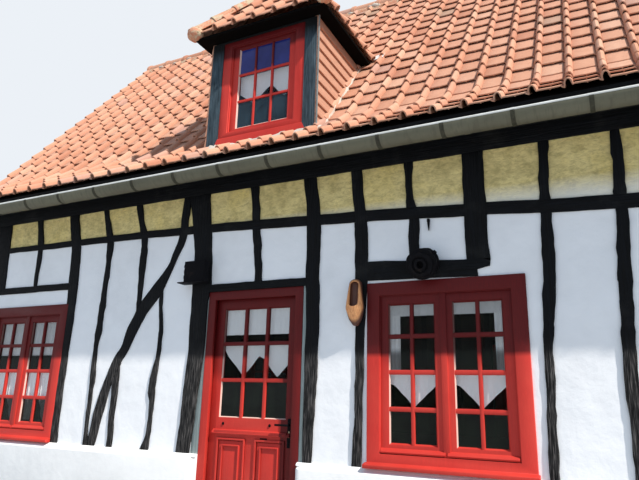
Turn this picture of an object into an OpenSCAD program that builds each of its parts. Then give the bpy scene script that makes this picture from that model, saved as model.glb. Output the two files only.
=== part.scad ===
// Half timbered house with a kicked tiled roof, a hipped dormer and a crooked timber frame.
// Millimetres. X runs along the front wall, Y into the house, Z up from the ground.
// The origin lies on the ground, in the middle of the house.

/* [House] */
// Length between the outer faces of the two gable walls
house_w = 11200; // [10900:100:13000]
// Depth between the outer faces of the front and rear walls
house_d = 5200; // [4600:100:6200]
// Height of the rendered plinth above the ground
plinth_h = 890; // [860:10:900]
// Underside of the wall plates above the ground
plate_z = 3190; // [3150:10:3300]
// Height of a wall plate at its outer face
plate_h = 260; // [220:10:320]
// Depth of the wall timbers
wall_t = 200; // [180:5:240]
// How far the infill lies behind the face of the timbers
infill_recess = 15; // [5:1:30]
// Top of the ground floor above the ground
floor_z = 170; // [120:10:220]
// How far the plinth stands out of the wall
plinth_out = 60; // [30:5:90]
// Width of the plinth's ledge inside the wall
plinth_in = 70; // [30:5:120]
// Height of the bevel along the plinth's outer edge
plinth_bevel = 45; // [20:5:80]
// Thickness of the attic floor
attic_floor_t = 120; // [80:10:160]

/* [Doorway] */
// Middle of the doorway from the middle of the house, to the left
door_x = 1895; // [1880:5:1900]
// Outside width of the door frame
door_w = 950; // [930:5:960]
// Top of the door frame above the ground
door_top = 2250; // [2200:10:2260]
// Width of a door frame member
door_frame_w = 60; // [50:5:70]
// Depth of the door frame
door_frame_d = 95; // [90:5:110]
// Thickness of the door leaf
leaf_t = 42; // [36:1:50]
// Gap around the door leaf
leaf_gap = 5; // [5:0.5:7]
// Width of the leaf's stiles and top rail
leaf_stile = 85; // [75:5:95]
// Bottom of the door's glazing above the ground
door_glass_z = 1190; // [1150:10:1230]

/* [Windows] */
// Outside width of a ground floor window
window_w = 1170; // [1130:5:1180]
// Outside height of a ground floor window
window_h = 1340; // [1300:10:1345]
// Width of a window frame member
window_frame_w = 100; // [80:5:110]
// Depth of a window frame
window_frame_d = 90; // [80:5:110]
// Width of the stiles and rails of a casement
casement_w = 65; // [50:5:75]
// Thickness of a casement
casement_t = 45; // [40:1:55]
// How far a sill board stands out of the window frame
sill_out = 55; // [30:5:80]
// Thickness of a sill board
sill_t = 40; // [30:2:50]
// Thickness of the window panes
pane_t = 4; // [3:1:8]

/* [Roof] */
// Pitch of the main slopes in degrees
pitch = 51.7; // [48:0.1:54]
// Pitch of the kicked eaves in degrees
kick_pitch = 35; // [32:0.5:38]
// How far inside the wall face the slope changes
kick_in = 143; // [100:1:180]
// How far the tiles reach beyond the wall face
eave_out = 330; // [310:5:370]
// How far the tiles reach beyond the gable walls
verge_out = 360; // [200:10:420]
// Thickness of the tile covering with its battens
tile_t = 60; // [50:5:80]
// Height of the rolls of the pantiles over the covering
roll_h = 38; // [20:2:50]
// Depth of the rafters, square to the slope
rafter_h = 90; // [80:5:120]
// Width of a rafter
rafter_w = 70; // [60:5:90]
// Distance between rafters
rafter_step = 480; // [400:20:560]
// Thickness of the eaves boards
fascia_t = 25; // [18:1:30]
// Depth of the boards along the verges
verge_board_h = 150; // [120:5:180]
// Radius of the ridge covering
ridge_r = 125; // [110:5:140]
// Outer radius of the half round gutters
gutter_r = 75; // [60:5:80]
// Sheet thickness of the gutters
gutter_t = 4; // [3:1:6]

/* [Dormer] */
// Outside width of the dormer
dormer_w = 1180; // [1140:10:1240]
// Middle of the dormer from the middle of the house, to the left
dormer_x = 1950; // [1900:10:2000]
// Soffit of the dormer's eaves above the ground
dormer_top = 4800; // [4760:10:4830]
// Sill of the dormer window above the ground
dormer_sill = 3740; // [3720:5:3760]
// Overhang of the dormer's eaves
dormer_out = 150; // [120:10:200]
// Height of the dormer's eaves boards
dormer_fascia = 30; // [20:5:50]
// Width of the dormer's posts
dormer_post = 130; // [110:5:150]
// Thickness of the dormer's cheeks
cheek_t = 60; // [40:5:80]

/* [Hidden] */
$fn = 48;
curve_steps = 3;      // pieces that each stretch of a crooked timber's edge is made of
eps = 1;
half_w = house_w / 2;
half_d = house_d / 2;
inner_w = house_w - 2 * wall_t;
inner_d = house_d - 2 * wall_t;
wall_h = plate_z - plinth_h;
window_top = plinth_h + window_h;
corner_w = 300;       // width of a corner post beside a window
jowl_w = 420;         // width of its head over the window
side_window_x = half_w - corner_w - window_w / 2;
mid_window_x = -270;  // middle of the window beside the doorway
glass_w = (window_w - 2 * window_frame_w) / 2 - 2 * casement_w;
door_left = -door_x - door_w / 2;
door_right = -door_x + door_w / 2;
plate_top_z = plate_z + plate_h;
function rise(dist, angle) = dist * tan(angle);
// Heights of the roof's layers at a distance inside the wall face
kick_z = plate_top_z + (tile_t + rafter_h) / cos(kick_pitch) + rise(kick_in, kick_pitch);
function layer_kick(t) = t * (1 / cos(pitch) - 1 / cos(kick_pitch)) / (tan(pitch) - tan(kick_pitch));
function layer_z(s, t) = s < kick_in + layer_kick(t)
    ? kick_z + rise(s - kick_in, kick_pitch) - t / cos(kick_pitch)
    : kick_z + rise(s - kick_in, pitch) - t / cos(pitch);
// Distance inside the wall face at which a layer of the main slope reaches a height
function layer_s(z, t) = kick_in + (z - kick_z + t / cos(pitch)) / tan(pitch);
ridge_z = layer_z(half_d, 0);
rafter_t = tile_t + rafter_h;
rafter_out = eave_out - 30 - fascia_t;
seat = 0.3;           // what lies between two pieces that rest on each other along a slope

function spline(a, b, c, d, t) = 0.5 * (2 * b + (c - a) * t + (2 * a - 5 * b + 4 * c - d) * t * t
    + (3 * b - a - 3 * c + d) * t * t * t);
function smooth(p) = let (last = len(p) - 1) [for (i = [0:last - 1]) for (k = [0:curve_steps - 1])
    spline(p[max(i - 1, 0)], p[i], p[i + 1], p[min(i + 2, last)], k / curve_steps), p[last]];
function edge(p, side) = [for (i = [0:len(p) - 1])
    let (a = p[max(i - 1, 0)], b = p[min(i + 1, len(p) - 1)], dx = b.x - a.x, dy = b.y - a.y,
        half = side * p[i].z / 2 / sqrt(dx * dx + dy * dy))
    [p[i].x + dy * half, p[i].y - dx * half]];
function reversed(p) = [for (i = [len(p) - 1:-1:0]) p[i]];

function wall_z(share) = plinth_h + share * wall_h;

// A crooked timber: points of [x, share of the wall height, width] from its foot to its head
module timber(points, x = 0) {
    line = smooth([for (p = points) [p.x + x, wall_z(p.y), p.z]]);
    polygon(concat(edge(line, 1), reversed(edge(line, -1))));
}
// A beam that lies: points of [x, share of the wall height, depth]
module beam(points) {
    line = smooth([for (p = points) [p.x, wall_z(p.y), p.z]]);
    polygon(concat(edge(line, 1), reversed(edge(line, -1))));
}
module box(x0, y0, z0, x1, y1, z1) {
    translate([x0, y0, z0]) cube([x1 - x0, y1 - y0, z1 - z0]);
}
module rect(x0, z0, x1, z1) { translate([x0, z0]) square([x1 - x0, z1 - z0]); }

// Stands an outline of the front wall up, from inset behind the wall face, depth deep
module on_front(inset, depth) {
    translate([0, -half_d + inset + depth, 0]) rotate([90, 0, 0]) linear_extrude(depth) children();
}
module on_rear(inset, depth) { mirror([0, 1, 0]) on_front(inset, depth) children(); }
// Stands an outline of the right gable wall up: its X runs along the wall's Y
module on_gable(inset, depth) {
    translate([half_w - inset - depth, 0, 0]) rotate([90, 0, 90]) linear_extrude(depth) children();
}
module both_gables(inset, depth) {
    on_gable(inset, depth) children();
    mirror([1, 0, 0]) on_gable(inset, depth) children();
}
module mirrored_x() { children(); mirror([1, 0]) children(); }

// Outlines of the front wall, seen from the front
module wall_face() { rect(-half_w, plinth_h, half_w, plate_z); }
module window_hole(x) { rect(x - window_w / 2, plinth_h, x + window_w / 2, window_top); }
module side_windows() { mirrored_x() window_hole(side_window_x); }
module front_holes() {
    side_windows();
    window_hole(mid_window_x);
    rect(door_left, floor_z, door_right, door_top);
}

// One half's posts, right of the middle: jowled corner post, window post, bay post, door post
bay_x = 2480;
jamb_x = 1340;
module half_posts() {
    corner_in = half_w - corner_w;
    jowl_in = half_w - jowl_w;
    jowl_z = window_top + 190;
    polygon([[half_w, plinth_h], [half_w, plate_z], [jowl_in + 55, plate_z], [jowl_in + 30, plate_z - 300],
        [jowl_in, jowl_z + 20], [corner_in, jowl_z - 40], [corner_in, plinth_h]]);
    difference() {
        timber([[-38, -0.02, 110], [-30, 0.3, 100], [-36, 0.5, 116], [-25, 0.64, 117], [0, 0.83, 119],
            [50, 0.9, 125], [108, 1.02, 125]], side_window_x - window_w / 2);
        side_windows();
    }
    timber([[44, -0.02, 137], [16, 0.18, 141], [-15, 0.37, 164], [-12, 0.56, 174], [-26, 0.615, 206],
        [6, 0.81, 196], [88, 1.02, 235]], bay_x);
    timber([[4, -0.02, 70], [-6, 0.17, 96], [-14, 0.4, 114], [-3, 0.67, 121], [-1, 0.82, 123],
        [49, 1.02, 117]], jamb_x);
}
// The post beside the middle window, which carries the clog
module clog_post() {
    difference() {
        timber([[-79, -0.02, 78], [-70, 0.14, 60], [-60, 0.43, 74], [-50, 0.595, 100], [-54, 0.79, 104],
            [-77, 0.87, 97], [-104, 1.02, 90]], mid_window_x - window_w / 2);
        window_hole(mid_window_x);
    }
}
mid_lintel_z = window_top + 25;
module mid_lintel() {
    left = mid_window_x - window_w / 2 - 50;
    polygon([[left, mid_lintel_z], [-4, mid_lintel_z - 22], [-4, mid_lintel_z + 28], [83, mid_lintel_z + 46],
        [83, mid_lintel_z + 98], [left, mid_lintel_z + 154]]);
}
module middle_post() {
    timber([[-1, 0.63, 169], [-4, 0.8, 159], [-9, 1.02, 156]]);
}
module all_posts() {
    mirrored_x() half_posts();
    clog_post();
    middle_post();
}
module front_posts_2d() {
    intersection() {
        wall_face();
        difference() {
            all_posts();
            difference() {
                mid_lintel();
                clog_post();
            }
            front_holes();
        }
    }
}

// The long curved brace, from the plate beside the bay post to the plinth
module half_brace() {
    timber([[215, 1.02, 80], [236, 0.9, 82], [247, 0.82, 88], [314, 0.755, 66], [372, 0.7, 66],
        [498, 0.615, 128], [635, 0.545, 130], [706, 0.495, 118], [773, 0.435, 118], [830, 0.375, 92],
        [894, 0.335, 92], [996, 0.235, 94], [1053, 0.135, 108], [1129, -0.02, 88]], bay_x);
}
module front_braces_2d() {
    intersection() {
        wall_face();
        difference() {
            mirrored_x() half_brace();
            all_posts();
            front_holes();
        }
    }
}

// The mid rail sags from the left corner to the right
rail_in = half_w - corner_w / 2;
rail_points = [[-rail_in, 0.867, 56], [-(rail_in + bay_x) / 2, 0.862, 66], [-bay_x, 0.852, 75],
    [-1000, 0.826, 90], [0, 0.802, 93], [1000, 0.775, 99], [bay_x, 0.767, 100], [rail_in, 0.765, 100]];
module front_rail_line() { beam(rail_points); }
module front_rails_2d() {
    difference() {
        front_rail_line();
        all_posts();
        mirrored_x() half_brace();
        all_lintels();
    }
}
side_lintel_z = window_top + 150;
side_lintel_h = 68;
door_lintel_h = 68;
module side_lintels() {
    mirrored_x() rect(side_window_x - window_w / 2 - 60, side_lintel_z, side_window_x + window_w / 2 + 60,
        side_lintel_z + side_lintel_h);
}
module all_lintels() {
    mid_lintel();
    side_lintels();
    rect(-bay_x, door_top, -jamb_x, door_top + door_lintel_h);
}
module front_lintels_2d() {
    difference() {
        all_lintels();
        mirrored_x() half_posts();
        clog_post();
    }
}

// One half's studs: over the side window, the crooked stud, and those on the brace
module half_studs() {
    timber([[-34, 0.66, 64], [-20, 0.855, 68], [-15, 0.88, 85], [55, 1.02, 92]], side_window_x);
    timber([[1190, -0.02, 60], [1188, 0.13, 50], [1190, 0.22, 48], [1192, 0.3, 75], [1201, 0.38, 66],
        [1187, 0.46, 82], [1178, 0.57, 78], [1171, 0.68, 68], [1170, 0.76, 72], [1170, 0.835, 83],
        [1240, 0.93, 72], [1300, 1.02, 72]], bay_x);
    intersection() {
        timber([[700, 0.45, 60], [701, 0.58, 62], [710, 0.69, 76], [721, 0.84, 78], [789, 0.93, 80],
            [845, 1.02, 80]], bay_x);
        above_brace();
    }
    difference() {
        union() {
            timber([[480, -0.02, 114], [433, 0.07, 50], [432, 0.18, 66], [446, 0.23, 92], [414, 0.335, 58],
                [407, 0.45, 48], [450, 0.62, 50]], bay_x);
            timber([[881, -0.02, 73], [897, 0.33, 89], [900, 0.39, 90]], bay_x);
        }
        above_brace();
    }
}
// What lies outside the brace: the side away from the bay post
module above_brace() {
    polygon(concat([for (p = [[247, 0.82], [314, 0.755], [372, 0.7], [498, 0.615], [635, 0.545], [706, 0.495],
        [773, 0.435], [830, 0.375], [894, 0.335], [996, 0.235]]) [bay_x + p.x, plinth_h + p.y * wall_h]],
        [[bay_x + 1100, plinth_h + 0.235 * wall_h], [bay_x + 1100, plate_z + 100], [bay_x + 247, plate_z + 100]]));
}
// Studs of the front wall's middle part, and over the doorway
module middle_studs() {
    timber([[-1863, 0.6, 82], [-1863, 0.66, 82], [-1935, 0.94, 85], [-1955, 1.02, 85]]);
    timber([[-208, 0.6, 86], [-202, 0.8, 88], [-232, 0.86, 72], [-245, 1.02, 74]], mid_window_x);
    timber([[408, -0.02, 72], [431, 0.35, 74], [461, 0.53, 98], [471, 0.59, 100], [481, 0.77, 91],
        [476, 0.81, 78], [506, 1.02, 80]]);
    timber([[888, -0.02, 80], [905, 0.4, 89], [930, 0.6, 97], [948, 0.74, 93], [952, 0.82, 88],
        [964, 1.02, 72]]);
    timber([[1840, -0.02, 80], [1870, 0.3, 88], [1863, 0.66, 82], [1935, 0.94, 85], [1955, 1.02, 85]]);
}
module all_studs() {
    mirrored_x() half_studs();
    middle_studs();
}
module front_studs_2d() {
    intersection() {
        wall_face();
        difference() {
            all_studs();
            all_posts();
            mirrored_x() half_brace();
            front_rail_line();
            all_lintels();
            front_holes();
        }
    }
}

// The tapering boards between the posts and the door frame
module door_strips_2d() {
    difference() {
        union() {
            rect(-bay_x, plinth_h, door_left, door_top);
            rect(door_right, plinth_h, -jamb_x, door_top);
        }
        all_posts();
    }
}
module above_rail() {
    polygon(concat([for (p = rail_points) [p.x, wall_z(p.y)]], [[half_w, wall_z(rail_points[7].y)],
        [half_w, plate_z], [-half_w, plate_z], [-half_w, wall_z(rail_points[0].y)]]));
}
module front_infill_2d() {
    difference() {
        children();
        all_posts();
        all_studs();
        mirrored_x() half_brace();
        front_rail_line();
        all_lintels();
        front_holes();
        rect(-bay_x, plinth_h, -jamb_x, door_top);
    }
}
module front_panel(x0, x1) {
    on_front(infill_recess, wall_t - 2 * infill_recess) front_infill_2d() difference() {
        rect(x0, plinth_h, x1, plate_z);
        above_rail();
    }
}

// The plain frame of the rear wall: straight timbers on the same lines as the front's
rear_rail_z = 2850;
rear_rail_h = 90;
stud_w = 85;
post_w = 180;
rear_windows = [-side_window_x, mid_window_x, side_window_x];
module upright(x, w, z0 = plinth_h, z1 = plate_z) { rect(x - w / 2, z0, x + w / 2, z1); }
module rear_posts_2d() {
    difference() {
        union() {
            mirrored_x() {
                rect(half_w - corner_w, plinth_h, half_w, plate_z);
                upright(bay_x, post_w);
                upright(side_window_x - window_w / 2 - stud_w / 2, stud_w);
            }
            for (side = [-1, 1]) upright(mid_window_x + side * (window_w + stud_w) / 2, stud_w);
        }
        rear_windows_2d();
    }
}
module rear_brace() {
    beam([[bay_x + 60, 1.026, 110], [bay_x + 420, 0.635, 120], [bay_x + 900, -0.026, 110]]);
}
module rear_windows_2d() { for (x = rear_windows) window_hole(x); }
module rear_rail() { rect(-half_w, rear_rail_z, half_w, rear_rail_z + rear_rail_h); }
module rear_lintels() {
    for (x = rear_windows) rect(x - window_w / 2, window_top, x + window_w / 2, window_top + side_lintel_h);
}
module rear_studs() {
    mirrored_x() {
        upright(jamb_x, stud_w);
        upright(bay_x - 590, stud_w);
        upright(bay_x + 590, stud_w);
        upright(bay_x + 1150, stud_w);
        upright(side_window_x, stud_w, window_top);
    }
    upright(mid_window_x, stud_w, window_top);
    upright(650, stud_w);
}
module rear_members() {
    rear_posts_2d();
    mirrored_x() rear_brace();
    rear_rail();
    rear_lintels();
    rear_studs();
}
module rear_frame_2d() {
    difference() {
        intersection() {
            wall_face();
            rear_members();
        }
        rear_windows_2d();
    }
}
module rear_infill_2d() {
    difference() {
        wall_face();
        rear_members();
        rear_windows_2d();
    }
}

// The gable walls between the corner posts, up to the tiles
tie_h = 210;
// The underside of a layer of the roof, as points across the house from the wall face to the ridge
function slope_line(t) = [for (s = [0, kick_in + layer_kick(t), half_d]) [half_d - s, layer_z(s, t)]];
function both_sides(p) = concat(p, [for (i = [len(p) - 2:-1:0]) [-p[i].x, p[i].y]]);
module gable_face() {
    y = half_d - wall_t;
    polygon(concat([[-y, layer_z(wall_t, rafter_t)], [-y, plinth_h], [y, plinth_h],
        [y, layer_z(wall_t, rafter_t)], [half_d, layer_z(0, rafter_t)]], both_sides(slope_line(tile_t)),
        [[-half_d, layer_z(0, rafter_t)]]));
}
gable_tie_z = plate_z;
gable_collar_z = plate_z + 1500;
gable_rafter = 150;
module gable_band(z0, h) { rect(-half_d, z0, half_d, z0 + h); }
module gable_window_hole() { window_hole(0); }
module gable_slopes() {
    difference() {
        gable_face();
        polygon(concat(both_sides(slope_line(tile_t + gable_rafter)), [[-half_d, 0], [half_d, 0]]));
    }
}
module gable_members() {
    gable_band(gable_tie_z, tie_h);
    gable_band(gable_collar_z, post_w);
    gable_band(rear_rail_z, rear_rail_h);
    rect(-window_w / 2, window_top, window_w / 2, window_top + side_lintel_h);
    upright(0, post_w, gable_tie_z, ridge_z);
    upright(0, stud_w, window_top, gable_tie_z);
    for (side = [-1, 1]) {
        upright(side * (window_w + stud_w) / 2, stud_w, plinth_h, gable_tie_z);
        upright(side * 1250, stud_w, plinth_h, gable_tie_z);
        upright(side * 1850, stud_w, plinth_h, gable_tie_z);
        upright(side * 700, stud_w, gable_tie_z, ridge_z);
        upright(side * 1300, stud_w, gable_tie_z, ridge_z);
    }
}
module gable_frame_2d() {
    difference() {
        intersection() {
            gable_face();
            union() {
                gable_members();
                gable_slopes();
            }
        }
        gable_window_hole();
    }
}
module gable_infill_2d() {
    difference() {
        gable_face();
        gable_members();
        gable_slopes();
        gable_window_hole();
    }
}

// The plinth, with a bevelled outer edge
module plinth_side(length) {
    rotate([90, 0, 90]) linear_extrude(length) polygon([[-plinth_out, 0], [-plinth_out, plinth_h - plinth_bevel],
        [0, plinth_h], [wall_t + plinth_in, plinth_h], [wall_t + plinth_in, 0]]);
}
module plinth_front(x0, x1) {
    translate([x0, -half_d, 0]) plinth_side(x1 - x0);
}
plinth_round = 55;    // rounding of the plinth's ledge beside the doorway, upright and level
module corner_cut(r, length) {
    rotate([90, 0, 0]) linear_extrude(length, center = true) difference() {
        translate([-r, -r]) square(r + eps);
        translate([-r, -r]) circle(r = r);
    }
}
module plinth_end() {
    difference() {
        children();
        translate([0, -half_d - plinth_out / 2, plinth_h - plinth_bevel / 2]) corner_cut(plinth_round, plinth_out);
        translate([0, -half_d - plinth_out, plinth_h / 2]) rotate([90, 0, 0]) corner_cut(plinth_round, plinth_h);
    }
}
module plinth_front_left() {
    color("whitesmoke") translate([door_left, 0, 0]) plinth_end()
        plinth_front(-half_w - plinth_out - door_left, 0);
}
module plinth_front_right() {
    color("whitesmoke") translate([door_right, 0, 0]) mirror([1, 0, 0]) plinth_end()
        plinth_front(door_right - half_w - plinth_out, 0);
}
module plinth_rear() {
    color("whitesmoke") mirror([0, 1, 0]) plinth_front(-half_w - plinth_out, half_w + plinth_out);
}
module plinth_gables() {
    y = half_d - wall_t - plinth_in;
    color("whitesmoke") for (side = [0, 1]) mirror([side, 0, 0])
        translate([half_w, -y, 0]) rotate([0, 0, 90]) plinth_side(2 * y);
}
module door_step() {
    color("darkgray") box(door_left, -half_d - plinth_out, 0, door_right,
        -half_d + wall_t + plinth_in, floor_z);
}
module ground_floor() {
    x = half_w - wall_t - plinth_in;
    y = half_d - wall_t - plinth_in;
    color("tan") box(-x, -y, 0, x, y, floor_z);
}
module attic_floor() {
    color("tan") box(-inner_w / 2, -inner_d / 2, plate_top_z - attic_floor_t, inner_w / 2, inner_d / 2,
        plate_top_z);
}

module front_posts() { color("#26282c") on_front(0, wall_t) front_posts_2d(); }
module front_studs() { color("#26282c") on_front(0, wall_t) front_studs_2d(); }
module front_braces() { color("#26282c") on_front(0, wall_t) front_braces_2d(); }
module front_rails() { color("#26282c") on_front(0, wall_t) front_rails_2d(); }
module front_lintels() { color("#26282c") on_front(0, wall_t) front_lintels_2d(); }
module front_infill_left() { color("white") front_panel(-half_w, -bay_x); }
module front_infill_over_door() { color("white") front_panel(-bay_x, -jamb_x); }
module front_infill_right() { color("white") front_panel(-jamb_x, half_w); }
module front_infill_upper() {
    color("wheat") on_front(infill_recess, wall_t - 2 * infill_recess) front_infill_2d() above_rail();
}
module rear_frame() { color("#26282c") on_rear(0, wall_t) rear_frame_2d(); }
module rear_infill() {
    color("white") on_rear(infill_recess, wall_t - 2 * infill_recess) rear_infill_2d();
}
module gable_frames() { color("#26282c") both_gables(0, wall_t) gable_frame_2d(); }
module gable_infill() {
    color("white") both_gables(infill_recess, wall_t - 2 * infill_recess) gable_infill_2d();
}
// The wall plates, with their tops on the rafters' slope
module wall_plates() {
    color("#26282c") for (side = [0, 1]) mirror([0, side, 0])
        translate([-half_w, -half_d, 0]) rotate([90, 0, 90]) linear_extrude(house_w)
            polygon([[0, plate_z], [wall_t, plate_z], [wall_t, layer_z(wall_t, rafter_t + seat)],
                [0, layer_z(0, rafter_t + seat)]]);
}

// A window frame with its sill board, seen from the front, its foot on the plinth
module window_frame(w, h, frame_w) {
    difference() {
        box(-w / 2, 0, 0, w / 2, window_frame_d, h);
        box(-w / 2 + frame_w, -eps, frame_w, w / 2 - frame_w, window_frame_d + eps, h - frame_w);
    }
    translate([-w / 2 - sill_horn, 0, 0]) rotate([90, 0, 90]) linear_extrude(w + 2 * sill_horn)
        polygon([[0, 0], [0, sill_t], [-sill_out, sill_t - 14], [-sill_out, 0]]);
}
sill_horn = 12;       // how far a sill board reaches past its frame on each side
module casement(x0, x1, z0, z1) {
    difference() {
        box(x0, 0, z0, x1, casement_t, z1);
        box(x0 + casement_w, -eps, z0 + casement_w, x1 - casement_w, casement_t + eps, z1 - casement_w);
    }
}
module pane(x0, x1, z0, z1) {
    box(x0 + casement_w, (casement_t - pane_t) / 2, z0 + casement_w, x1 - casement_w,
        (casement_t + pane_t) / 2, z1 - casement_w);
}
casement_in = 25;     // how far a casement lies behind its frame's face
module window_leaves() {
    x = window_w / 2 - window_frame_w;
    for (side = [0, 1]) mirror([side, 0, 0]) translate([0, casement_in, 0])
        if ($part == "panes") pane(0, x, window_frame_w, window_h - window_frame_w);
        else {
            casement(0, x, window_frame_w, window_h - window_frame_w);
            if (side == 0) meeting_cover(window_frame_w, window_h - window_frame_w);
        }
}
cover_w = 44;         // width of the strip over the joint between two casements
cover_t = 12;
module meeting_cover(z0, z1) {
    box(0, -cover_t, z0, cover_w / 2, 0, z1);
    box(-cover_w / 2, -cover_t, z0, 0, -seat, z1);
}
module each_window() {
    for (x = [-side_window_x, mid_window_x, side_window_x]) translate([x, -half_d, plinth_h]) children();
    for (x = rear_windows) mirror([0, 1, 0]) translate([x, -half_d, plinth_h]) children();
    for (side = [0, 1]) mirror([side, 0, 0]) translate([half_w, 0, plinth_h]) rotate([0, 0, 90]) children();
}
module window_frames() {
    color("firebrick") each_window() window_frame(window_w, window_h, window_frame_w);
}
module casements() {
    $part = "casements";
    color("firebrick") each_window() window_leaves();
}
module window_panes() {
    $part = "panes";
    color("lightblue", 0.5) each_window() window_leaves();
}

// The doorway: frame, stops, boards beside it, and the glazed leaf that opens inwards
door_in = 15;         // how far the door frame lies behind the wall face
stop_w = 14;
stop_d = 30;
leaf_y = -half_d + door_in + door_frame_d - leaf_t;
leaf_x0 = door_left + door_frame_w + leaf_gap;
leaf_x1 = door_right - door_frame_w - leaf_gap;
leaf_z0 = floor_z + leaf_gap + 3;
leaf_z1 = door_top - door_frame_w - leaf_gap;
module door_frame() {
    y0 = -half_d + door_in;
    color("firebrick") difference() {
        box(door_left, y0, floor_z, door_right, y0 + door_frame_d, door_top);
        box(door_left + door_frame_w, y0 + stop_d, floor_z - eps, door_right - door_frame_w,
            y0 + door_frame_d + eps, door_top - door_frame_w);
        box(door_left + door_frame_w + stop_w, y0 - eps, floor_z - eps, door_right - door_frame_w - stop_w,
            y0 + door_frame_d, door_top - door_frame_w - stop_w);
    }
}
module door_strips() { color("darkgray") on_front(infill_recess + 5, wall_t - 2 * infill_recess) door_strips_2d(); }
door_glass_x0 = leaf_x0 + leaf_stile;
door_glass_x1 = leaf_x1 - leaf_stile;
door_glass_z1 = leaf_z1 - leaf_stile;
panel_z0 = leaf_z0 + 180;
panel_z1 = door_glass_z - 160;
panel_gap = 90;       // width of the muntin between the two lower panels
panel_cut = 12;       // depth of the groove round a raised panel
panel_w = (door_glass_x1 - door_glass_x0 - panel_gap) / 2;
hinge_pin_r = 7;
hinge_fit = 0.1;
hinge_r = 13;
hinge_y = leaf_y + leaf_t + hinge_r;
hinge_x = leaf_x0 - leaf_gap / 2;
hinge_h = 90;
hinge_zs = [leaf_z0 + 250, leaf_z0 + 1000, leaf_z1 - 300];
module door_leaf() {
    color("firebrick") {
        difference() {
            box(leaf_x0, leaf_y, leaf_z0, leaf_x1, leaf_y + leaf_t, leaf_z1);
            box(door_glass_x0, leaf_y - eps, door_glass_z, door_glass_x1, leaf_y + leaf_t + eps, door_glass_z1);
            for (k = [0, 1]) translate([door_glass_x0 + k * (panel_w + panel_gap), leaf_y, 0]) difference() {
                box(0, -eps, panel_z0, panel_w, panel_cut, panel_z1);
                box(25, -2 * eps, panel_z0 + 25, panel_w - 25, panel_cut + eps, panel_z1 - 25);
            }
        }
        box(door_glass_x0 - 20, leaf_y - 22, panel_z1 + 30, door_glass_x1 + 20, leaf_y, panel_z1 + 60);
        for (z = hinge_zs) difference() {
            union() {
                translate([hinge_x, hinge_y, z]) cylinder(r = hinge_r, h = hinge_h);
                box(hinge_x, leaf_y + leaf_t, z, leaf_x0 + 45, leaf_y + leaf_t + 5, z + hinge_h);
            }
            translate([hinge_x, hinge_y, z - eps]) cylinder(r = hinge_pin_r + hinge_fit, h = hinge_h + 2 * eps);
        }
    }
}
module door_hinge_pins() {
    color("firebrick") for (z = hinge_zs) {
        translate([hinge_x, hinge_y, z - 20]) cylinder(r = hinge_pin_r, h = hinge_h + 30);
        difference() {
            union() {
                translate([hinge_x, hinge_y, z - 40]) cylinder(r = hinge_r, h = 39);
                box(hinge_x - 45, leaf_y + leaf_t, z - 40, hinge_x, leaf_y + leaf_t + 5, z - 1);
            }
            translate([hinge_x, hinge_y, z - 20]) cylinder(r = hinge_pin_r, h = 40);
        }
    }
}
module door_pane() {
    y = leaf_y + (leaf_t - pane_t) / 2;
    color("lightblue", 0.5) box(door_glass_x0, y, door_glass_z, door_glass_x1, y + pane_t, door_glass_z1);
}
handle_z = 1090;
module door_handle() {
    x = leaf_x1 - 45;
    color("dimgray") for (side = [0, 1]) translate([x, leaf_y + leaf_t / 2, handle_z]) mirror([0, side, 0]) {
        box(-20, leaf_t / 2, -110, 20, leaf_t / 2 + 4, 110);
        translate([0, leaf_t / 2 + 4, 60]) rotate([-90, 0, 0]) cylinder(r = 9, h = 40);
        box(-110, leaf_t / 2 + 44, 52, 9, leaf_t / 2 + 56, 68);
    }
}

// The roof's layers as outlines across the house: a band of one slope between two depths
module slope_band(s0, t0, t1, s1 = half_d) {
    upper = [for (s = [s0, kick_in + layer_kick(t0), s1]) [s, layer_z(s, t0)]];
    lower = [for (s = [s1, kick_in + layer_kick(t1), s0]) [s, layer_z(s, t1)]];
    polygon(concat(upper, lower));
}
module across(x0, x1) {
    translate([x0, -half_d, 0]) rotate([90, 0, 90]) linear_extrude(x1 - x0) children();
}
dormer_left = -dormer_x - dormer_w / 2;
dormer_right = -dormer_x + dormer_w / 2;
module dormer_cut() {
    box(dormer_left, -half_d, plate_z, dormer_right, 0, dormer_top);
}
roof_x = half_w + verge_out;
// The rolls of the pantiles, one at the left of each column, from the eave to the ridge covering
tile_columns = round(2 * roof_x / 229);
tile_lap = 12;        // how far a column of tiles reaches under the next one's roll
tile_w = (2 * roof_x - tile_lap) / tile_columns;
roll_w = 50;
module tile_rolls(first = 3) {
    for (k = [0:tile_columns - 1]) across(k * tile_w - roof_x + first, k * tile_w - roof_x + first + roll_w)
        slope_band(-eave_out, -roll_h, tile_t / 2, half_d - ridge_r);
}
// The room that the dormer's roof and eaves take above the tiles
module dormer_room(gap) {
    half = dormer_half + gap;
    z = dormer_eave_z + dormer_lip + gap;
    translate([dormer_mid, 0, 0]) rotate([90, 0, 0]) linear_extrude(house_d, center = true)
        polygon([[-half, dormer_top - gap], [half, dormer_top - gap], [half, z], [0, z + rise(half, pitch)], [-half, z]]);
}
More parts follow.
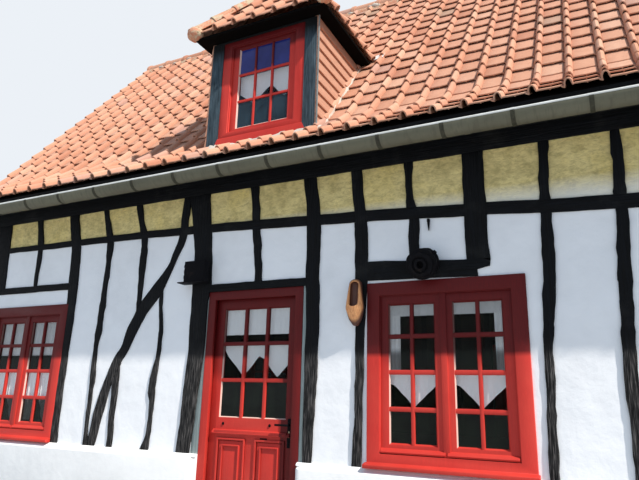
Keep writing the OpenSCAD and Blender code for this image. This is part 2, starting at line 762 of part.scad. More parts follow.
// The covering ends in a straight joint on each side of the dormer, from the eave to the ridge
module field_joints() {
    for (x = [dormer_left - seat, dormer_right]) box(x, -half_d - eave_out - eps, 0, x + seat, eps, 2 * ridge_z);
}
module roof_front() {
    color("sandybrown") difference() {
        union() {
            across(-roof_x, roof_x) slope_band(-eave_out, 0, tile_t);
            difference() {
                tile_rolls();
                dormer_room(2);
            }
        }
        dormer_cut();
        field_joints();
    }
}
module roof_rear() {
    color("sandybrown") mirror([0, 1, 0]) {
        across(-roof_x, roof_x) slope_band(-eave_out, 0, tile_t);
        mirror([1, 0, 0]) tile_rolls();
    }
}
rafter_count = floor((inner_w / 2 - rafter_w) / rafter_step);
module rafter_rows() {
    for (k = [-rafter_count:rafter_count]) across(k * rafter_step - rafter_w / 2,
        k * rafter_step + rafter_w / 2) slope_band(-rafter_out, tile_t, rafter_t);
}
module rafters_front() {
    color("peru") difference() {
        rafter_rows();
        dormer_cut();
    }
}
module rafters_rear() { color("peru") mirror([0, 1, 0]) rafter_rows(); }
module ridge_cap() {
    color("sandybrown") translate([-roof_x, 0, 0]) rotate([90, 0, 90]) linear_extrude(2 * roof_x) difference() {
        translate([0, ridge_z - 60]) circle(r = ridge_r);
        translate([0, seat]) polygon([[0, ridge_z], [half_d, ridge_z - rise(half_d, pitch)],
            [-half_d, ridge_z - rise(half_d, pitch)]]);
    }
}
board_gap = 1;        // joint between the boards of a verge at the ridge
module verge_boards() {
    color("#26282c") for (sx = [0, 1]) for (sy = [0, 1]) mirror([sx, 0, 0]) mirror([0, sy, 0])
        across(roof_x - 40, roof_x - 10) slope_band(-rafter_out, tile_t + seat, tile_t + verge_board_h,
            half_d - board_gap / 2);
}
// Boards that close the rafter ends, from verge board to verge board
fascia_s = rafter_out + fascia_t;
fascia_drop = 40;     // how far the eaves board hangs below the rafter ends
module eaves_boards() {
    x = roof_x - 40;
    color("#1b1d20") for (side = [0, 1]) mirror([0, side, 0]) across(-x, x)
        polygon([[-fascia_s, layer_z(-fascia_s, rafter_t) - fascia_drop],
            [-rafter_out, layer_z(-fascia_s, rafter_t) - fascia_drop],
            [-rafter_out, layer_z(-rafter_out, tile_t + seat)], [-fascia_s, layer_z(-fascia_s, tile_t + seat)]]);
}
gutter_s = fascia_s + gutter_r;
gutter_z = layer_z(-fascia_s, rafter_t) + 5;
module gutters() {
    color("slategray") for (side = [0, 1]) mirror([0, side, 0]) across(-roof_x, roof_x)
        translate([-gutter_s, gutter_z]) {
            difference() {
                circle(r = gutter_r);
                circle(r = gutter_r - gutter_t);
                translate([-2 * gutter_r, 0]) square([4 * gutter_r, 2 * gutter_r]);
            }
            translate([-gutter_r + lip_r, lip_r / 2]) circle(r = lip_r);
        }
}
lip_r = 9;            // radius of the rolled lip along the gutter's outer edge
bracket_w = 30;
bracket_t = 4;
module gutter_brackets() {
    color("slategray") for (side = [0, 1]) mirror([0, side, 0]) for (k = [-rafter_count:rafter_count])
        translate([k * rafter_step - rafter_step / 4, 0, 0]) across(-bracket_w / 2, bracket_w / 2) intersection() {
            translate([-gutter_s, gutter_z]) difference() {
                circle(r = gutter_r + bracket_t);
                circle(r = gutter_r);
                translate([-2 * gutter_r, 0]) square([4 * gutter_r, 2 * gutter_r]);
            }
            rect(-gutter_s - 2 * gutter_r, 0, -fascia_s, ridge_z);
        }
}

// The hipped dormer over the doorway, its front flush with the wall
dormer_mid = -dormer_x;
dormer_head = 20;     // height of the beam over the dormer window
dormer_win_w = dormer_w - 2 * dormer_post;
dormer_win_top = dormer_top - dormer_head;
dormer_frame_w = 175;  // width of frame and sash beside the dormer's glass
dormer_frame_h = 90;
module dormer_posts() {
    color("#3c4a56") {
        for (x = [dormer_left, dormer_right - dormer_post]) across(x, x + dormer_post)
            polygon([[0, layer_z(0, rafter_t)], [dormer_post, layer_z(dormer_post, rafter_t)],
                [dormer_post, dormer_top], [0, dormer_top]]);
        box(dormer_left + dormer_post, -half_d, dormer_win_top, dormer_right - dormer_post,
            -half_d + dormer_post, dormer_top);
        across(dormer_left + dormer_post, dormer_right - dormer_post)
            polygon([[0, layer_z(0, rafter_t)], [dormer_post, layer_z(dormer_post, rafter_t)],
                [dormer_post, dormer_sill], [0, dormer_sill]]);
    }
}
module dormer_cheeks() {
    kink = kick_in + layer_kick(rafter_t);
    back = layer_s(dormer_top, rafter_t);
    color("sandybrown") for (x = [dormer_left, dormer_right - cheek_t]) across(x, x + cheek_t)
        polygon([[dormer_post, layer_z(dormer_post, rafter_t)], [kink, layer_z(kink, rafter_t)],
            [back, dormer_top], [dormer_post, dormer_top]]);
}
module dormer_window() {
    h = dormer_win_top - dormer_sill;
    color("firebrick") translate([dormer_mid, -half_d + 10, dormer_sill]) difference() {
        box(-dormer_win_w / 2, 0, 0, dormer_win_w / 2, window_frame_d, h);
        box(-dormer_win_w / 2 + dormer_frame_w, -eps, dormer_frame_h, dormer_win_w / 2 - dormer_frame_w,
            window_frame_d + eps, h - dormer_frame_h);
    }
}
module dormer_pane() {
    h = dormer_win_top - dormer_sill;
    color("lightblue", 0.5) translate([dormer_mid, -half_d + 50, dormer_sill])
        box(-dormer_win_w / 2 + dormer_frame_w, 0, dormer_frame_h, dormer_win_w / 2 - dormer_frame_w, pane_t,
            h - dormer_frame_h);
}
dormer_half = dormer_w / 2 + dormer_out;
dormer_eave_z = dormer_top + dormer_fascia;
dormer_lip = 30;      // height of the tiles' edge over the dormer's eaves boards
module dormer_eaves() {
    color("#26282c") intersection() {
        box(dormer_mid - dormer_half + 20, -half_d - dormer_out + 20, dormer_top, dormer_mid + dormer_half - 20,
            0, dormer_eave_z);
        across(-half_w, half_w) polygon([[-half_d, dormer_top], [layer_s(dormer_top, -seat), dormer_top],
            [layer_s(dormer_eave_z, -seat), dormer_eave_z], [-half_d, dormer_eave_z]]);
    }
}
// The hipped body over the eaves, inset by a distance measured level
module dormer_hip(inset) {
    half = dormer_half - inset;
    z = dormer_eave_z;
    lip = inset > 0 ? 0 : dormer_lip;
    top = rise(half, pitch) + lip;
    intersection() {
        translate([dormer_mid, 0, 0]) rotate([90, 0, 0]) linear_extrude(house_d, center = true)
            polygon([[-half, z - eps], [half, z - eps], [half, z + lip], [0, z + top], [-half, z + lip]]);
        across(dormer_left - 2 * dormer_out, dormer_right + 2 * dormer_out)
            polygon([[inset - dormer_out, inset > 0 ? z - eps : z], [inset - dormer_out, z + lip],
                [inset - dormer_out + half, z + top], [layer_s(z + top, -seat), z + top],
                [layer_s(z, -seat), inset > 0 ? z - eps : z]]);
    }
}
module dormer_roof() {
    color("sandybrown") difference() {
        dormer_hip(0);
        dormer_hip(120);
    }
}

// Old things hung on the front: a cart wheel's hub, a wooden clog, a letter box and an iron peg
hub_x = -410;
hub_z = mid_lintel_z + 100;
hub_bore = 26;
module cart_hub() {
    color("#1b1d20") translate([hub_x, -half_d, hub_z]) rotate([90, 0, 0]) {
        rotate_extrude() polygon([[0, 0], [118, 0], [118, 22], [135, 26], [135, 58], [126, 62], [122, 96],
            [108, 104], [104, 118], [114, 122], [114, 142], [94, 146], [90, 172], [62, 176], [60, 164], [46, 164],
            [44, 178], [hub_bore, 178], [hub_bore, 130], [0, 130]]);
        rotate([0, 0, 38]) translate([110, -17, 66]) cube([52, 34, 26]);
    }
}
clog_x = -935;
clog_z = mid_lintel_z - 165;
// Half the width, height over the sole and place along the foot of each ball that shapes the clog
clog_balls = [[42, 74, 132], [50, 92, 40], [60, 96, -50], [46, 70, -120], [26, 52, -164]];
module clog_ball(p, wall) {
    translate([0, -p.y / 2, p.z]) scale([1, p.y / p.x / 2, 1]) sphere(r = p.x - wall, $fn = 20);
}
module clog() {
    color("peru") translate([clog_x, -half_d, clog_z]) difference() {
        intersection() {
            for (i = [0:len(clog_balls) - 2]) hull() {
                clog_ball(clog_balls[i], 0);
                clog_ball(clog_balls[i + 1], 0);
            }
            box(-100, -200, -300, 100, 0, 300);
        }
        hull() {
            translate([0, -52, 122]) sphere(r = 28, $fn = 20);
            translate([0, -56, -40]) sphere(r = 32, $fn = 20);
            translate([0, -130, 120]) sphere(r = 32, $fn = 20);
            translate([0, -130, 30]) sphere(r = 30, $fn = 20);
        }
    }
}
box_x = -2512;
box_z = door_top + 85;
box_w = 260;
box_d = 90;
box_h = 220;
module post_box() {
    color("#1b1d20") translate([box_x, -half_d, box_z]) {
        box(-box_w / 2, -box_d, 0, box_w / 2, 0, box_h);
        box(-box_w / 2 - 70, -box_d - 15, -8, box_w / 2, 0, 4);
        for (z = [60, 115, 170]) box(-box_w / 2 - 14, -box_d + 10, z - 16, -box_w / 2, -10, z + 16);
    }
}
// Tapers from its head under the rail to its point
module iron_peg() {
    translate([-355, -half_d + infill_recess, 0]) color("#1b1d20") rotate([90, 0, 0]) linear_extrude(24)
        polygon([[-14, wall_z(0.787)], [12, wall_z(0.787)], [16, wall_z(0.782)], [4, wall_z(0.75)], [0, wall_z(0.746)],
            [-8, wall_z(0.76)], [-18, wall_z(0.782)]]);
}

// Lace behind the panes, as thin plain solids that hang against the back of their frames
curtain_t = 6;
curtain_gap = 0.3;
curtain_lap = 20;     // how far a curtain reaches over the frame on each side of the glass
module curtain(x0, x1, y, z0, z1) {
    box(x0 - curtain_lap, y + curtain_gap, z0, x1 + curtain_lap, y + curtain_gap + curtain_t, z1);
}
module window_curtains() {
    color("white") for (x = [-side_window_x, mid_window_x, side_window_x])
        for (k = [-1, 1]) translate([x + k * (glass_w / 2 + casement_w), -half_d, plinth_h]) {
            curtain(-glass_w / 2, glass_w / 2, casement_in + casement_t, window_h - 260, window_h - 150);
            curtain(-glass_w / 2, glass_w / 2, casement_in + casement_t, 420, 680);
        }
}
module door_curtain() {
    color("white") for (z = [[1530, 1790], [1870, door_glass_z1 - 10]])
        curtain(door_glass_x0, door_glass_x1, leaf_y + leaf_t, z[0], z[1]);
}
module dormer_curtain() {
    half = dormer_win_w / 2 - dormer_frame_w;
    z0 = dormer_sill + dormer_frame_h;
    row = (dormer_win_top - dormer_frame_h - z0) / 3;
    color("white") curtain(dormer_mid - half, dormer_mid + half, -half_d + 10 + window_frame_d,
        z0 + row - 15, z0 + 2 * row + 15);
}

plinth_front_left();
plinth_front_right();
plinth_rear();
plinth_gables();
door_step();
ground_floor();
attic_floor();
front_posts();
front_studs();
front_braces();
front_rails();
front_lintels();
front_infill_left();
front_infill_over_door();
front_infill_right();
front_infill_upper();
rear_frame();
rear_infill();
gable_frames();
gable_infill();
wall_plates();
window_frames();
casements();
window_panes();
door_frame();
door_strips();
door_hinge_pins();
door_leaf();
door_pane();
door_handle();
rafters_front();
rafters_rear();
roof_front();
roof_rear();
ridge_cap();
verge_boards();
eaves_boards();
gutters();
gutter_brackets();
dormer_posts();
dormer_cheeks();
dormer_window();
dormer_pane();
dormer_eaves();
dormer_roof();
cart_hub();
clog();
post_box();
iron_peg();
window_curtains();
door_curtain();
dormer_curtain();
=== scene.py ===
"""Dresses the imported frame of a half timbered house: pantiles, hewn timbers, lime render, red joinery and lace."""

import math
import random

import bmesh
import bpy
from bpy.props import FloatProperty, FloatVectorProperty, IntProperty, PointerProperty
from mathutils import Matrix, Vector, noise


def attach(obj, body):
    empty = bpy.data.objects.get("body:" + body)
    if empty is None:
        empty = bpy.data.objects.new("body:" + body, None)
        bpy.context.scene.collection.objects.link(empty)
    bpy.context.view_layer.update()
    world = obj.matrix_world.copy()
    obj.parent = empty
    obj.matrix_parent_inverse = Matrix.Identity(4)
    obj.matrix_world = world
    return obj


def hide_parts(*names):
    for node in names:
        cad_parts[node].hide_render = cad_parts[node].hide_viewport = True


bl_info = {
    "name": "Half Timbered House",
    "version": (1, 0, 0),
    "blender": (4, 5, 0),
    "location": "View3D > Sidebar > House",
    "description": "Dresses the frame of a half timbered house with tiles, hewn timbers, render and glazed joinery",
    "category": "Object",
}

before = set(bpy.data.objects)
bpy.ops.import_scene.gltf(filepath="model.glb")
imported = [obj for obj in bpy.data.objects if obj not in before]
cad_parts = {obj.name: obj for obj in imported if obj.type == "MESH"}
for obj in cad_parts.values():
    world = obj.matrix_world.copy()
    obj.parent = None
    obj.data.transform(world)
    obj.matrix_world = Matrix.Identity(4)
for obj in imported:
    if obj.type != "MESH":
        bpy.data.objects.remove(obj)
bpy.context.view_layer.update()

# Sizes of the frame, in metres
HALF_W = 5.6
HALF_D = 2.6
PLINTH = 0.89
PLATE = 3.19
PLATE_H = 0.26
RAFTER_T = 0.15
INFILL_Y = -HALF_D + 0.015
WINDOW_XS = (-4.715, -0.27, 4.715)
CASEMENT_X = 0.2425
HOLES = [(x - 0.585, x + 0.585, PLINTH - 0.1, 2.23) for x in WINDOW_XS] + [(-2.37, -1.42, 0.1, 2.25)]
RAIL = ((-HALF_W, 0.867), (-5.45, 0.867), (-3.965, 0.862), (-2.48, 0.852), (-1.0, 0.826), (0.0, 0.802),
    (1.0, 0.775), (2.48, 0.767), (5.45, 0.765), (HALF_W, 0.765))

# The roof turns from its kick to its pitch at KINK inside the wall face
KICK = math.radians(35)
PITCH = math.radians(51.7)
KINK = 0.143
EAVE = -0.33
KICK_LENGTH = (KINK - EAVE) / math.cos(KICK)
VERGE = 5.96
DORMER_X = -1.95
DORMER_SIDE = 0.59
DORMER_HALF = 0.74
DORMER_FRONT = -HALF_D - 0.15
DORMER_EAVE = 4.86
DORMER_SOFFIT = 4.80
DORMER_WINDOW = (-2.41, -1.49, 3.74, 4.78)
DORMER_GLASS = (-2.235, -1.665, 3.83, 4.69)
GUTTER_Y = 2.975
GUTTER_Z = 3.245


def srgb(r, g, b):
    """Linear colour of a colour that is given as it shows, from 0 to 255."""
    return tuple((c / 255 / 12.92 if c / 255 <= 0.04045 else ((c / 255 + 0.055) / 1.055) ** 2.4) for c in (r, g, b))


def turn_at(t):
    """Where a layer t below the top of the tiles turns, inside the wall face."""
    return KINK + t * (1 / math.cos(PITCH) - 1 / math.cos(KICK)) / (math.tan(PITCH) - math.tan(KICK))


def roof_z(s, t=0.0):
    """Height of a layer of the roof, t below the top of the tiles, at s inside the wall face."""
    kink_z = PLATE + PLATE_H + RAFTER_T / math.cos(KICK) + KINK * math.tan(KICK)
    slope = KICK if s < turn_at(t) else PITCH
    return kink_z + (s - KINK) * math.tan(slope) - t / math.cos(slope)


def roof_point(length, out=0.0):
    """A point (y, z) of the front slope, length up from the eave, out from its surface."""
    slope = KICK if length < KICK_LENGTH else PITCH
    start, base = (EAVE, 0.0) if length < KICK_LENGTH else (KINK, KICK_LENGTH)
    s = start + (length - base) * math.cos(slope)
    return Vector((0, s - HALF_D - out * math.sin(slope), roof_z(s) + out * math.cos(slope)))


def between(rows, at):
    """Value at a place along rows of (place, value), straight from row to row."""
    for (a, p), (b, q) in zip(rows, rows[1:]):
        if at <= b:
            return p + (q - p) * max(at - a, 0) / (b - a)
    return rows[-1][1]


def rail_z(x):
    """Middle of the sagging mid rail at x."""
    return PLINTH + (PLATE - PLINTH) * between(RAIL, x)


def ring(radius, degrees, x=0.0, y=0.0, z=0.0):
    """Points round the X axis, one at each angle."""
    return [(x, y + radius * math.cos(math.radians(a)), z + radius * math.sin(math.radians(a))) for a in degrees]


def turned(angle, x=0.0, y=0.0, z=0.0):
    return Matrix.Translation((x, y, z)) @ Matrix.Rotation(angle, 4, "Z")


# Places of the eight ground floor windows, from a window drawn at the origin and facing the front
WINDOW_PLACES = [turned(0, x, -HALF_D, PLINTH) for x in WINDOW_XS]
WINDOW_PLACES += [turned(math.pi, x, HALF_D, PLINTH) for x in WINDOW_XS]
WINDOW_PLACES += [turned(math.pi / 2, HALF_W, 0, PLINTH), turned(-math.pi / 2, -HALF_W, 0, PLINTH)]


# Modelling tools


def activate(obj):
    if bpy.context.object and bpy.context.object.mode != "OBJECT":
        bpy.ops.object.mode_set(mode="OBJECT")
    bpy.ops.object.select_all(action="DESELECT")
    obj.select_set(True)
    bpy.context.view_layer.objects.active = obj


def edit(obj):
    activate(obj)
    bpy.ops.object.mode_set(mode="EDIT")
    bpy.ops.mesh.select_all(action="SELECT")


def leave():
    bpy.ops.object.mode_set(mode="OBJECT")
    return bpy.context.object


def pick(kind, test):
    """Selects the faces or edges of the mesh in edit mode that pass a test."""
    bpy.ops.mesh.select_mode(type="FACE" if kind == "faces" else "EDGE")
    bpy.ops.mesh.select_all(action="DESELECT")
    mesh = bmesh.from_edit_mesh(bpy.context.object.data)
    for part in getattr(mesh, kind):
        part.select_set(bool(test(part)))
    mesh.select_flush_mode()
    bmesh.update_edit_mesh(bpy.context.object.data)


def outwards():
    bpy.ops.mesh.select_all(action="SELECT")
    bpy.ops.mesh.remove_doubles(threshold=0.00002)
    bpy.ops.mesh.normals_make_consistent(inside=False)


def drawn(points, along, closed=True):
    """Draws an outline point by point, fills it where it is closed, and extrudes it along a vector."""
    points = [Vector(p) for p in points]
    bpy.ops.object.select_all(action="DESELECT")
    bpy.ops.mesh.primitive_plane_add(size=0.001, location=points[0])
    bpy.ops.object.transform_apply(location=True, rotation=False, scale=False)
    bpy.ops.object.mode_set(mode="EDIT")
    bpy.ops.mesh.select_mode(type="VERT")
    bpy.ops.mesh.select_all(action="SELECT")
    bpy.ops.mesh.merge(type="CENTER")
    for a, b in zip(points, points[1:]):
        bpy.ops.mesh.extrude_region_move(TRANSFORM_OT_translate={"value": b - a})
    bpy.ops.mesh.select_all(action="SELECT")
    if closed:
        bpy.ops.mesh.edge_face_add()
    bpy.ops.mesh.extrude_region_move(TRANSFORM_OT_translate={"value": Vector(along)})
    outwards()
    return leave()


def primitive(kind, place, scale=(1, 1, 1), upright=False, **settings):
    """Adds a primitive at its size and place. An upright plane or grid faces the front."""
    bpy.ops.object.select_all(action="DESELECT")
    turn = (math.pi / 2 if upright else 0, 0, 0)
    getattr(bpy.ops.mesh, f"primitive_{kind}_add")(location=place, rotation=turn, **settings)
    bpy.context.object.scale = scale
    bpy.ops.object.transform_apply(location=True, rotation=True, scale=True)
    return bpy.context.object


def upright_plane(x0, x1, z0, z1, y, kind="plane", **settings):
    return primitive(kind, ((x0 + x1) / 2, y, (z0 + z1) / 2), (x1 - x0, z1 - z0, 1), True, size=1, **settings)


def block(lo, hi, bevel=0.0, segments=2):
    """A squared piece between two corners, its edges bevelled."""
    cube = primitive("cube", [(a + b) / 2 for a, b in zip(lo, hi)], [b - a for a, b in zip(lo, hi)], size=1)
    if bevel:
        edit(cube)
        bpy.ops.mesh.bevel(offset=bevel, segments=segments, affect="EDGES")
        leave()
    return cube


def modified(obj, kind, **settings):
    """Adds a modifier, sets it and applies it."""
    activate(obj)
    modifier = obj.modifiers.new(kind.title(), kind)
    for key, value in settings.items():
        setattr(modifier, key, value)
    bpy.ops.object.modifier_apply(modifier=modifier.name)
    return obj


def softened(obj, width, degrees=30, segments=2, **settings):
    """Bevels the edges of a piece that turn by more than an angle."""
    return modified(obj, "BEVEL", width=width, segments=segments, limit_method="ANGLE",
        angle_limit=math.radians(degrees), **settings)


def thickened(obj, thickness, offset=-1):
    return modified(obj, "SOLIDIFY", thickness=thickness, offset=offset)


def sliced(obj, point, normal):
    """Cuts a piece by a plane, and clears what the normal points to."""
    edit(obj)
    bpy.ops.mesh.bisect(plane_co=point, plane_no=normal, use_fill=True, clear_outer=True, threshold=0.00001)
    return leave()


def scored(axis, at):
    """Cuts the mesh in edit mode across an axis and keeps both sides."""
    point, normal = [0, 0, 0], [0, 0, 0]
    point[axis], normal[axis] = at, 1
    bpy.ops.mesh.select_all(action="SELECT")
    bpy.ops.mesh.bisect(plane_co=point, plane_no=normal)


def split_off(obj, test):
    """Takes the faces that pass a test out of a piece, as a piece of their own."""
    edit(obj)
    pick("faces", test)
    bpy.ops.mesh.separate(type="SELECTED")
    leave()
    return [other for other in bpy.context.selected_objects if other != obj][0]


def drawn_up(points, along):
    """Draws an open sheet whose faces point upwards."""
    obj = drawn(points, along, closed=False)
    # The order of the faces differs from run to run, so all of them count
    if sum(face.normal.z * face.area for face in obj.data.polygons) < 0:
        edit(obj)
        bpy.ops.mesh.flip_normals()
        leave()
    return obj


def roof_layer(x0, x1, s0, s1, t0, t1, side=-1):
    """A solid layer of one slope, between two depths and two distances inside the wall face."""
    def line(t):
        return [(x0, side * (HALF_D - s), roof_z(s, t)) for s in (s0, turn_at(t), s1) if s0 <= s <= s1]
    return drawn(line(t0) + line(t1)[::-1], (x1 - x0, 0, 0))


def inner(edges, gap_x, gap_z):
    """An opening (x0, x1, z0, z1) drawn in on all sides."""
    x0, x1, z0, z1 = edges
    return x0 + gap_x, x1 - gap_x, z0 + gap_z, z1 - gap_z


def surround(outer, opening, front, back, bevel=0.005):
    """A flat frame between two openings (x0, x1, z0, z1), from its front to its back."""
    (x0, x1, z0, z1), (a0, a1, b0, b1) = outer, opening
    rim = 0.005
    frame_board = upright_plane(x0, x1, z0, z1, front)
    edit(frame_board)
    bpy.ops.mesh.inset(thickness=rim, depth=0)
    bpy.ops.transform.resize(value=((a1 - a0) / (x1 - x0 - 2 * rim), 1, (b1 - b0) / (z1 - z0 - 2 * rim)),
        center_override=((x0 + x1) / 2, front, (z0 + z1) / 2))
    bpy.ops.transform.translate(value=((a0 + a1 - x0 - x1) / 2, 0, (b0 + b1 - z0 - z1) / 2))
    bpy.ops.mesh.delete(type="FACE")
    leave()
    return softened(thickened(frame_board, back - front), bevel)


def repeated(obj, places, keep=False):
    """Copies a modelled piece to each place, each copy with its own mesh, as one new piece."""
    whole = bmesh.new()
    for place in places:
        mesh = obj.data.copy()
        mesh.transform(place)
        whole.from_mesh(mesh)
        bpy.data.meshes.remove(mesh)
    mesh = bpy.data.meshes.new(obj.name)
    whole.to_mesh(mesh)
    whole.free()
    made = bpy.data.objects.new(obj.name, mesh)
    bpy.context.collection.objects.link(made)
    if not keep:
        bpy.data.objects.remove(obj)
    return made


def joined(pieces):
    activate(pieces[0])
    for piece in pieces:
        piece.select_set(True)
    if len(pieces) > 1:
        bpy.ops.object.join()
    return bpy.context.object


def merged_copy(node):
    """A copy of a CAD node with its doubles merged and its flat faces whole."""
    obj = bpy.data.objects.new(node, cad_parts[node].data.copy())
    bpy.context.collection.objects.link(obj)
    edit(obj)
    bpy.ops.mesh.remove_doubles(threshold=0.00005)
    bpy.ops.mesh.dissolve_limited(angle_limit=math.radians(1))
    return leave()


def bevelled(node, width, degrees=40):
    """A CAD node's copy with its edges eased."""
    return softened(merged_copy(node), width, degrees)


def lumpy(obj, step, depth, scale, axis=0):
    """Slices a long piece and pushes its points about, as mortar lies."""
    values = [v.co[axis] for v in obj.data.vertices]
    lo, hi = min(values), max(values)
    edit(obj)
    count = int((hi - lo) / step)
    for k in range(1, count):
        scored(axis, lo + (hi - lo) * k / count)
    leave()
    for v in obj.data.vertices:
        if lo + 0.001 < v.co[axis] < hi - 0.001:
            v.co += noise.noise_vector(v.co * scale) * depth
    return obj


def worn(obj, scale, depth):
    for v in obj.data.vertices:
        v.co += noise.noise_vector(v.co * scale) * depth
    return obj


def set_piece(obj, name, finish, slot=None, replaces=(), smooth=None, body="house"):
    """Names a finished piece, gives it its finish and sets it on the body it moves with."""
    obj.name = name
    obj.data.name = name
    obj.data.materials.clear()
    obj.data.materials.append(paint(finish))
    if smooth:
        activate(obj)
        bpy.ops.object.shade_smooth_by_angle(angle=math.radians(smooth))
    if replaces:
        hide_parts(*replaces)
    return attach(obj, body)


# Finishes


def add_node(tree, kind, inputs=None, **settings):
    """Adds a node, sets it, and links or sets its inputs."""
    node = tree.nodes.new(kind)
    for key, value in settings.items():
        setattr(node, key, value)
    for socket, value in (inputs or {}).items():
        if hasattr(value, "is_linked"):
            tree.links.new(value, node.inputs[socket])
        else:
            node.inputs[socket].default_value = value
    return node


class Finish:
    """One procedural material, built node by node on the surface's own coordinates."""

    def __init__(self, name, colour, roughness=0.6, gloss=0.5, **sockets):
        self.material = bpy.data.materials.new(name)
        self.material.use_nodes = True
        self.tree = self.material.node_tree
        self.shader = self.tree.nodes["Principled BSDF"]
        sockets.update(Base_Color=(*colour, 1), Roughness=roughness, Specular_IOR_Level=gloss)
        for socket, value in sockets.items():
            self.shader.inputs[socket.replace("_", " ")].default_value = value
        self.coordinates = self.add("ShaderNodeTexCoord").outputs["Object"]

    def add(self, kind, inputs=None, **settings):
        return add_node(self.tree, kind, inputs, **settings)

    def noise(self, scale, detail=4.0, roughness=0.6, stretch=(1, 1, 1), distortion=0.0):
        place = self.add("ShaderNodeMapping", {"Vector": self.coordinates, "Scale": stretch}).outputs[0]
        return self.add("ShaderNodeTexNoise", {"Vector": place, "Scale": scale, "Detail": detail,
            "Roughness": roughness, "Distortion": distortion}).outputs["Fac"]

    def along(self, axis):
        return self.add("ShaderNodeSeparateXYZ", {"Vector": self.coordinates}).outputs[axis]

    def ramp(self, value, *stops):
        """Each stop is (place, share) or (place, linear colour)."""
        node = self.add("ShaderNodeValToRGB", {"Fac": value})
        band = node.color_ramp.elements
        while len(band) < len(stops):
            band.new(0.5)
        for element, (at, colour) in zip(band, stops):
            element.position = at
            element.color = (*colour, 1) if hasattr(colour, "__len__") else (colour, colour, colour, 1)
        return node.outputs["Color"]

    def shades(self, value, *stops):
        """Each stop is (place, red, green, blue), the colour as it shows."""
        return self.ramp(value, *((at, srgb(*colour)) for at, *colour in stops))

    def by_place(self, axis, *rows):
        """A share that changes along an axis of the house, each row being (metres, share)."""
        low, high = rows[0][0] - 0.01, rows[-1][0] + 0.01
        reach = self.add("ShaderNodeMapRange", {"Value": self.along(axis), "From Min": low, "From Max": high})
        return self.ramp(reach.outputs[0], *(((at - low) / (high - low), share) for at, share in rows))

    def mix(self, share, a, b):
        colours = (c if hasattr(c, "is_linked") else (*c, 1) for c in (a, b))
        return self.add("ShaderNodeMix", dict(zip((0, 6, 7), (share, *colours))), data_type="RGBA").outputs[2]

    def maths(self, a, b, operation="ADD"):
        return self.add("ShaderNodeMath", {0: a, 1: b}, operation=operation).outputs[0]

    def times(self, a, b):
        return self.maths(a, b, "MULTIPLY")

    def feed(self, socket, value):
        self.tree.links.new(value, self.shader.inputs[socket])

    def colour(self, value):
        self.feed("Base Color", value)

    def rough(self, value):
        self.feed("Roughness", value)

    def bump(self, height, distance):
        self.feed("Normal", self.add("ShaderNodeBump", {"Height": height, "Distance": distance,
            "Strength": 1.0}).outputs[0])


def lime_render(name, colour, lumps=0.006, dark_room_shade=False):
    """Limewashed render; where asked, the walls' inner faces are painted dark brown as painted shade, so the rooms look
    dark through the panes.
    """
    f = Finish(name, colour, 0.85)
    broad = f.noise(1.6, 3)
    trowel = f.noise(9, 5, 0.55)
    grit = f.noise(160, 3, 0.7)
    low, high = (tuple(min(c * share, 1) for c in colour) for share in (0.9, 1.05))
    face = f.mix(f.ramp(trowel, (0.3, 0.0), (0.75, 0.5)), f.ramp(broad, (0.3, low), (0.6, colour)), high)
    f.bump(f.maths(f.times(trowel, 0.9), f.times(grit, 0.1)), lumps)
    # Painted shade: the walls' inner faces are darkened so the rooms look dark through the panes
    if dark_room_shade:
        inside = (f.maths(f.maths(f.along(axis), 0.0, "ABSOLUTE"), limit, "LESS_THAN")
            for axis, limit in (("X", HALF_W - 0.1), ("Y", HALF_D - 0.1)))
        face = f.mix(f.times(*inside), face, srgb(52, 44, 36))
    f.colour(face)
    return f.material


def daub_render():
    """Straw coloured daub, whitewashed again along the mid rail."""
    f = Finish("daub_render", srgb(206, 196, 168), 0.92)
    broad = f.noise(2.2, 4)
    blotch = f.noise(9, 6, 0.7, distortion=0.25)
    straw = f.noise(20, 8, 0.78, (1, 1, 2.2), 0.6)
    c = f.shades(broad, (0.3, 246, 222, 140), (0.5, 252, 232, 162), (0.72, 232, 212, 144))
    c = f.mix(f.ramp(straw, (0.36, 0.45), (0.54, 0.0)), c, srgb(158, 132, 78))
    c = f.mix(f.ramp(blotch, (0.34, 0.5), (0.5, 0.15), (0.68, 0.0)), c, srgb(150, 130, 78))
    f.colour(f.mix(f.by_place("Z", (2.76, 0.75), (2.79, 0.6), (2.90, 0.0)), c, srgb(250, 250, 244)))
    f.bump(f.maths(f.times(blotch, 0.5), f.times(straw, 0.6)), 0.014)
    return f.material


def tarred_timber(name, stretch):
    """Black tarred oak, its grain drawn out along the timber, painted paler speckled grey below 1.7 m as sunlight under
    the eaves' shadow line.
    """
    f = Finish(name, srgb(20, 22, 26), 0.8, 0.12)
    grain = f.noise(26, 6, 0.65, stretch, 0.4)
    cracks = f.noise(60, 3, 0.6, stretch)
    wear = f.noise(3.2, 5, 0.7)
    dark = f.shades(grain, (0.35, 6, 7, 9), (0.62, 21, 23, 27))
    pale = f.shades(cracks, (0.4, 14, 14, 15), (0.53, 52, 51, 51), (0.66, 104, 100, 98))
    # Painted sunlight: below the eaves' shadow line at 1.7 m the timbers take a paler speckled grey
    c = f.mix(f.by_place("Z", (1.66, 0.85), (1.71, 0.0)), dark, pale)
    f.colour(f.mix(f.ramp(wear, (0.55, 0.0), (0.85, 0.4)), c, srgb(64, 64, 62)))
    f.rough(f.ramp(grain, (0.3, 0.6), (0.7, 0.85)))
    f.bump(f.maths(grain, f.times(cracks, 0.5)), 0.012)
    return f.material


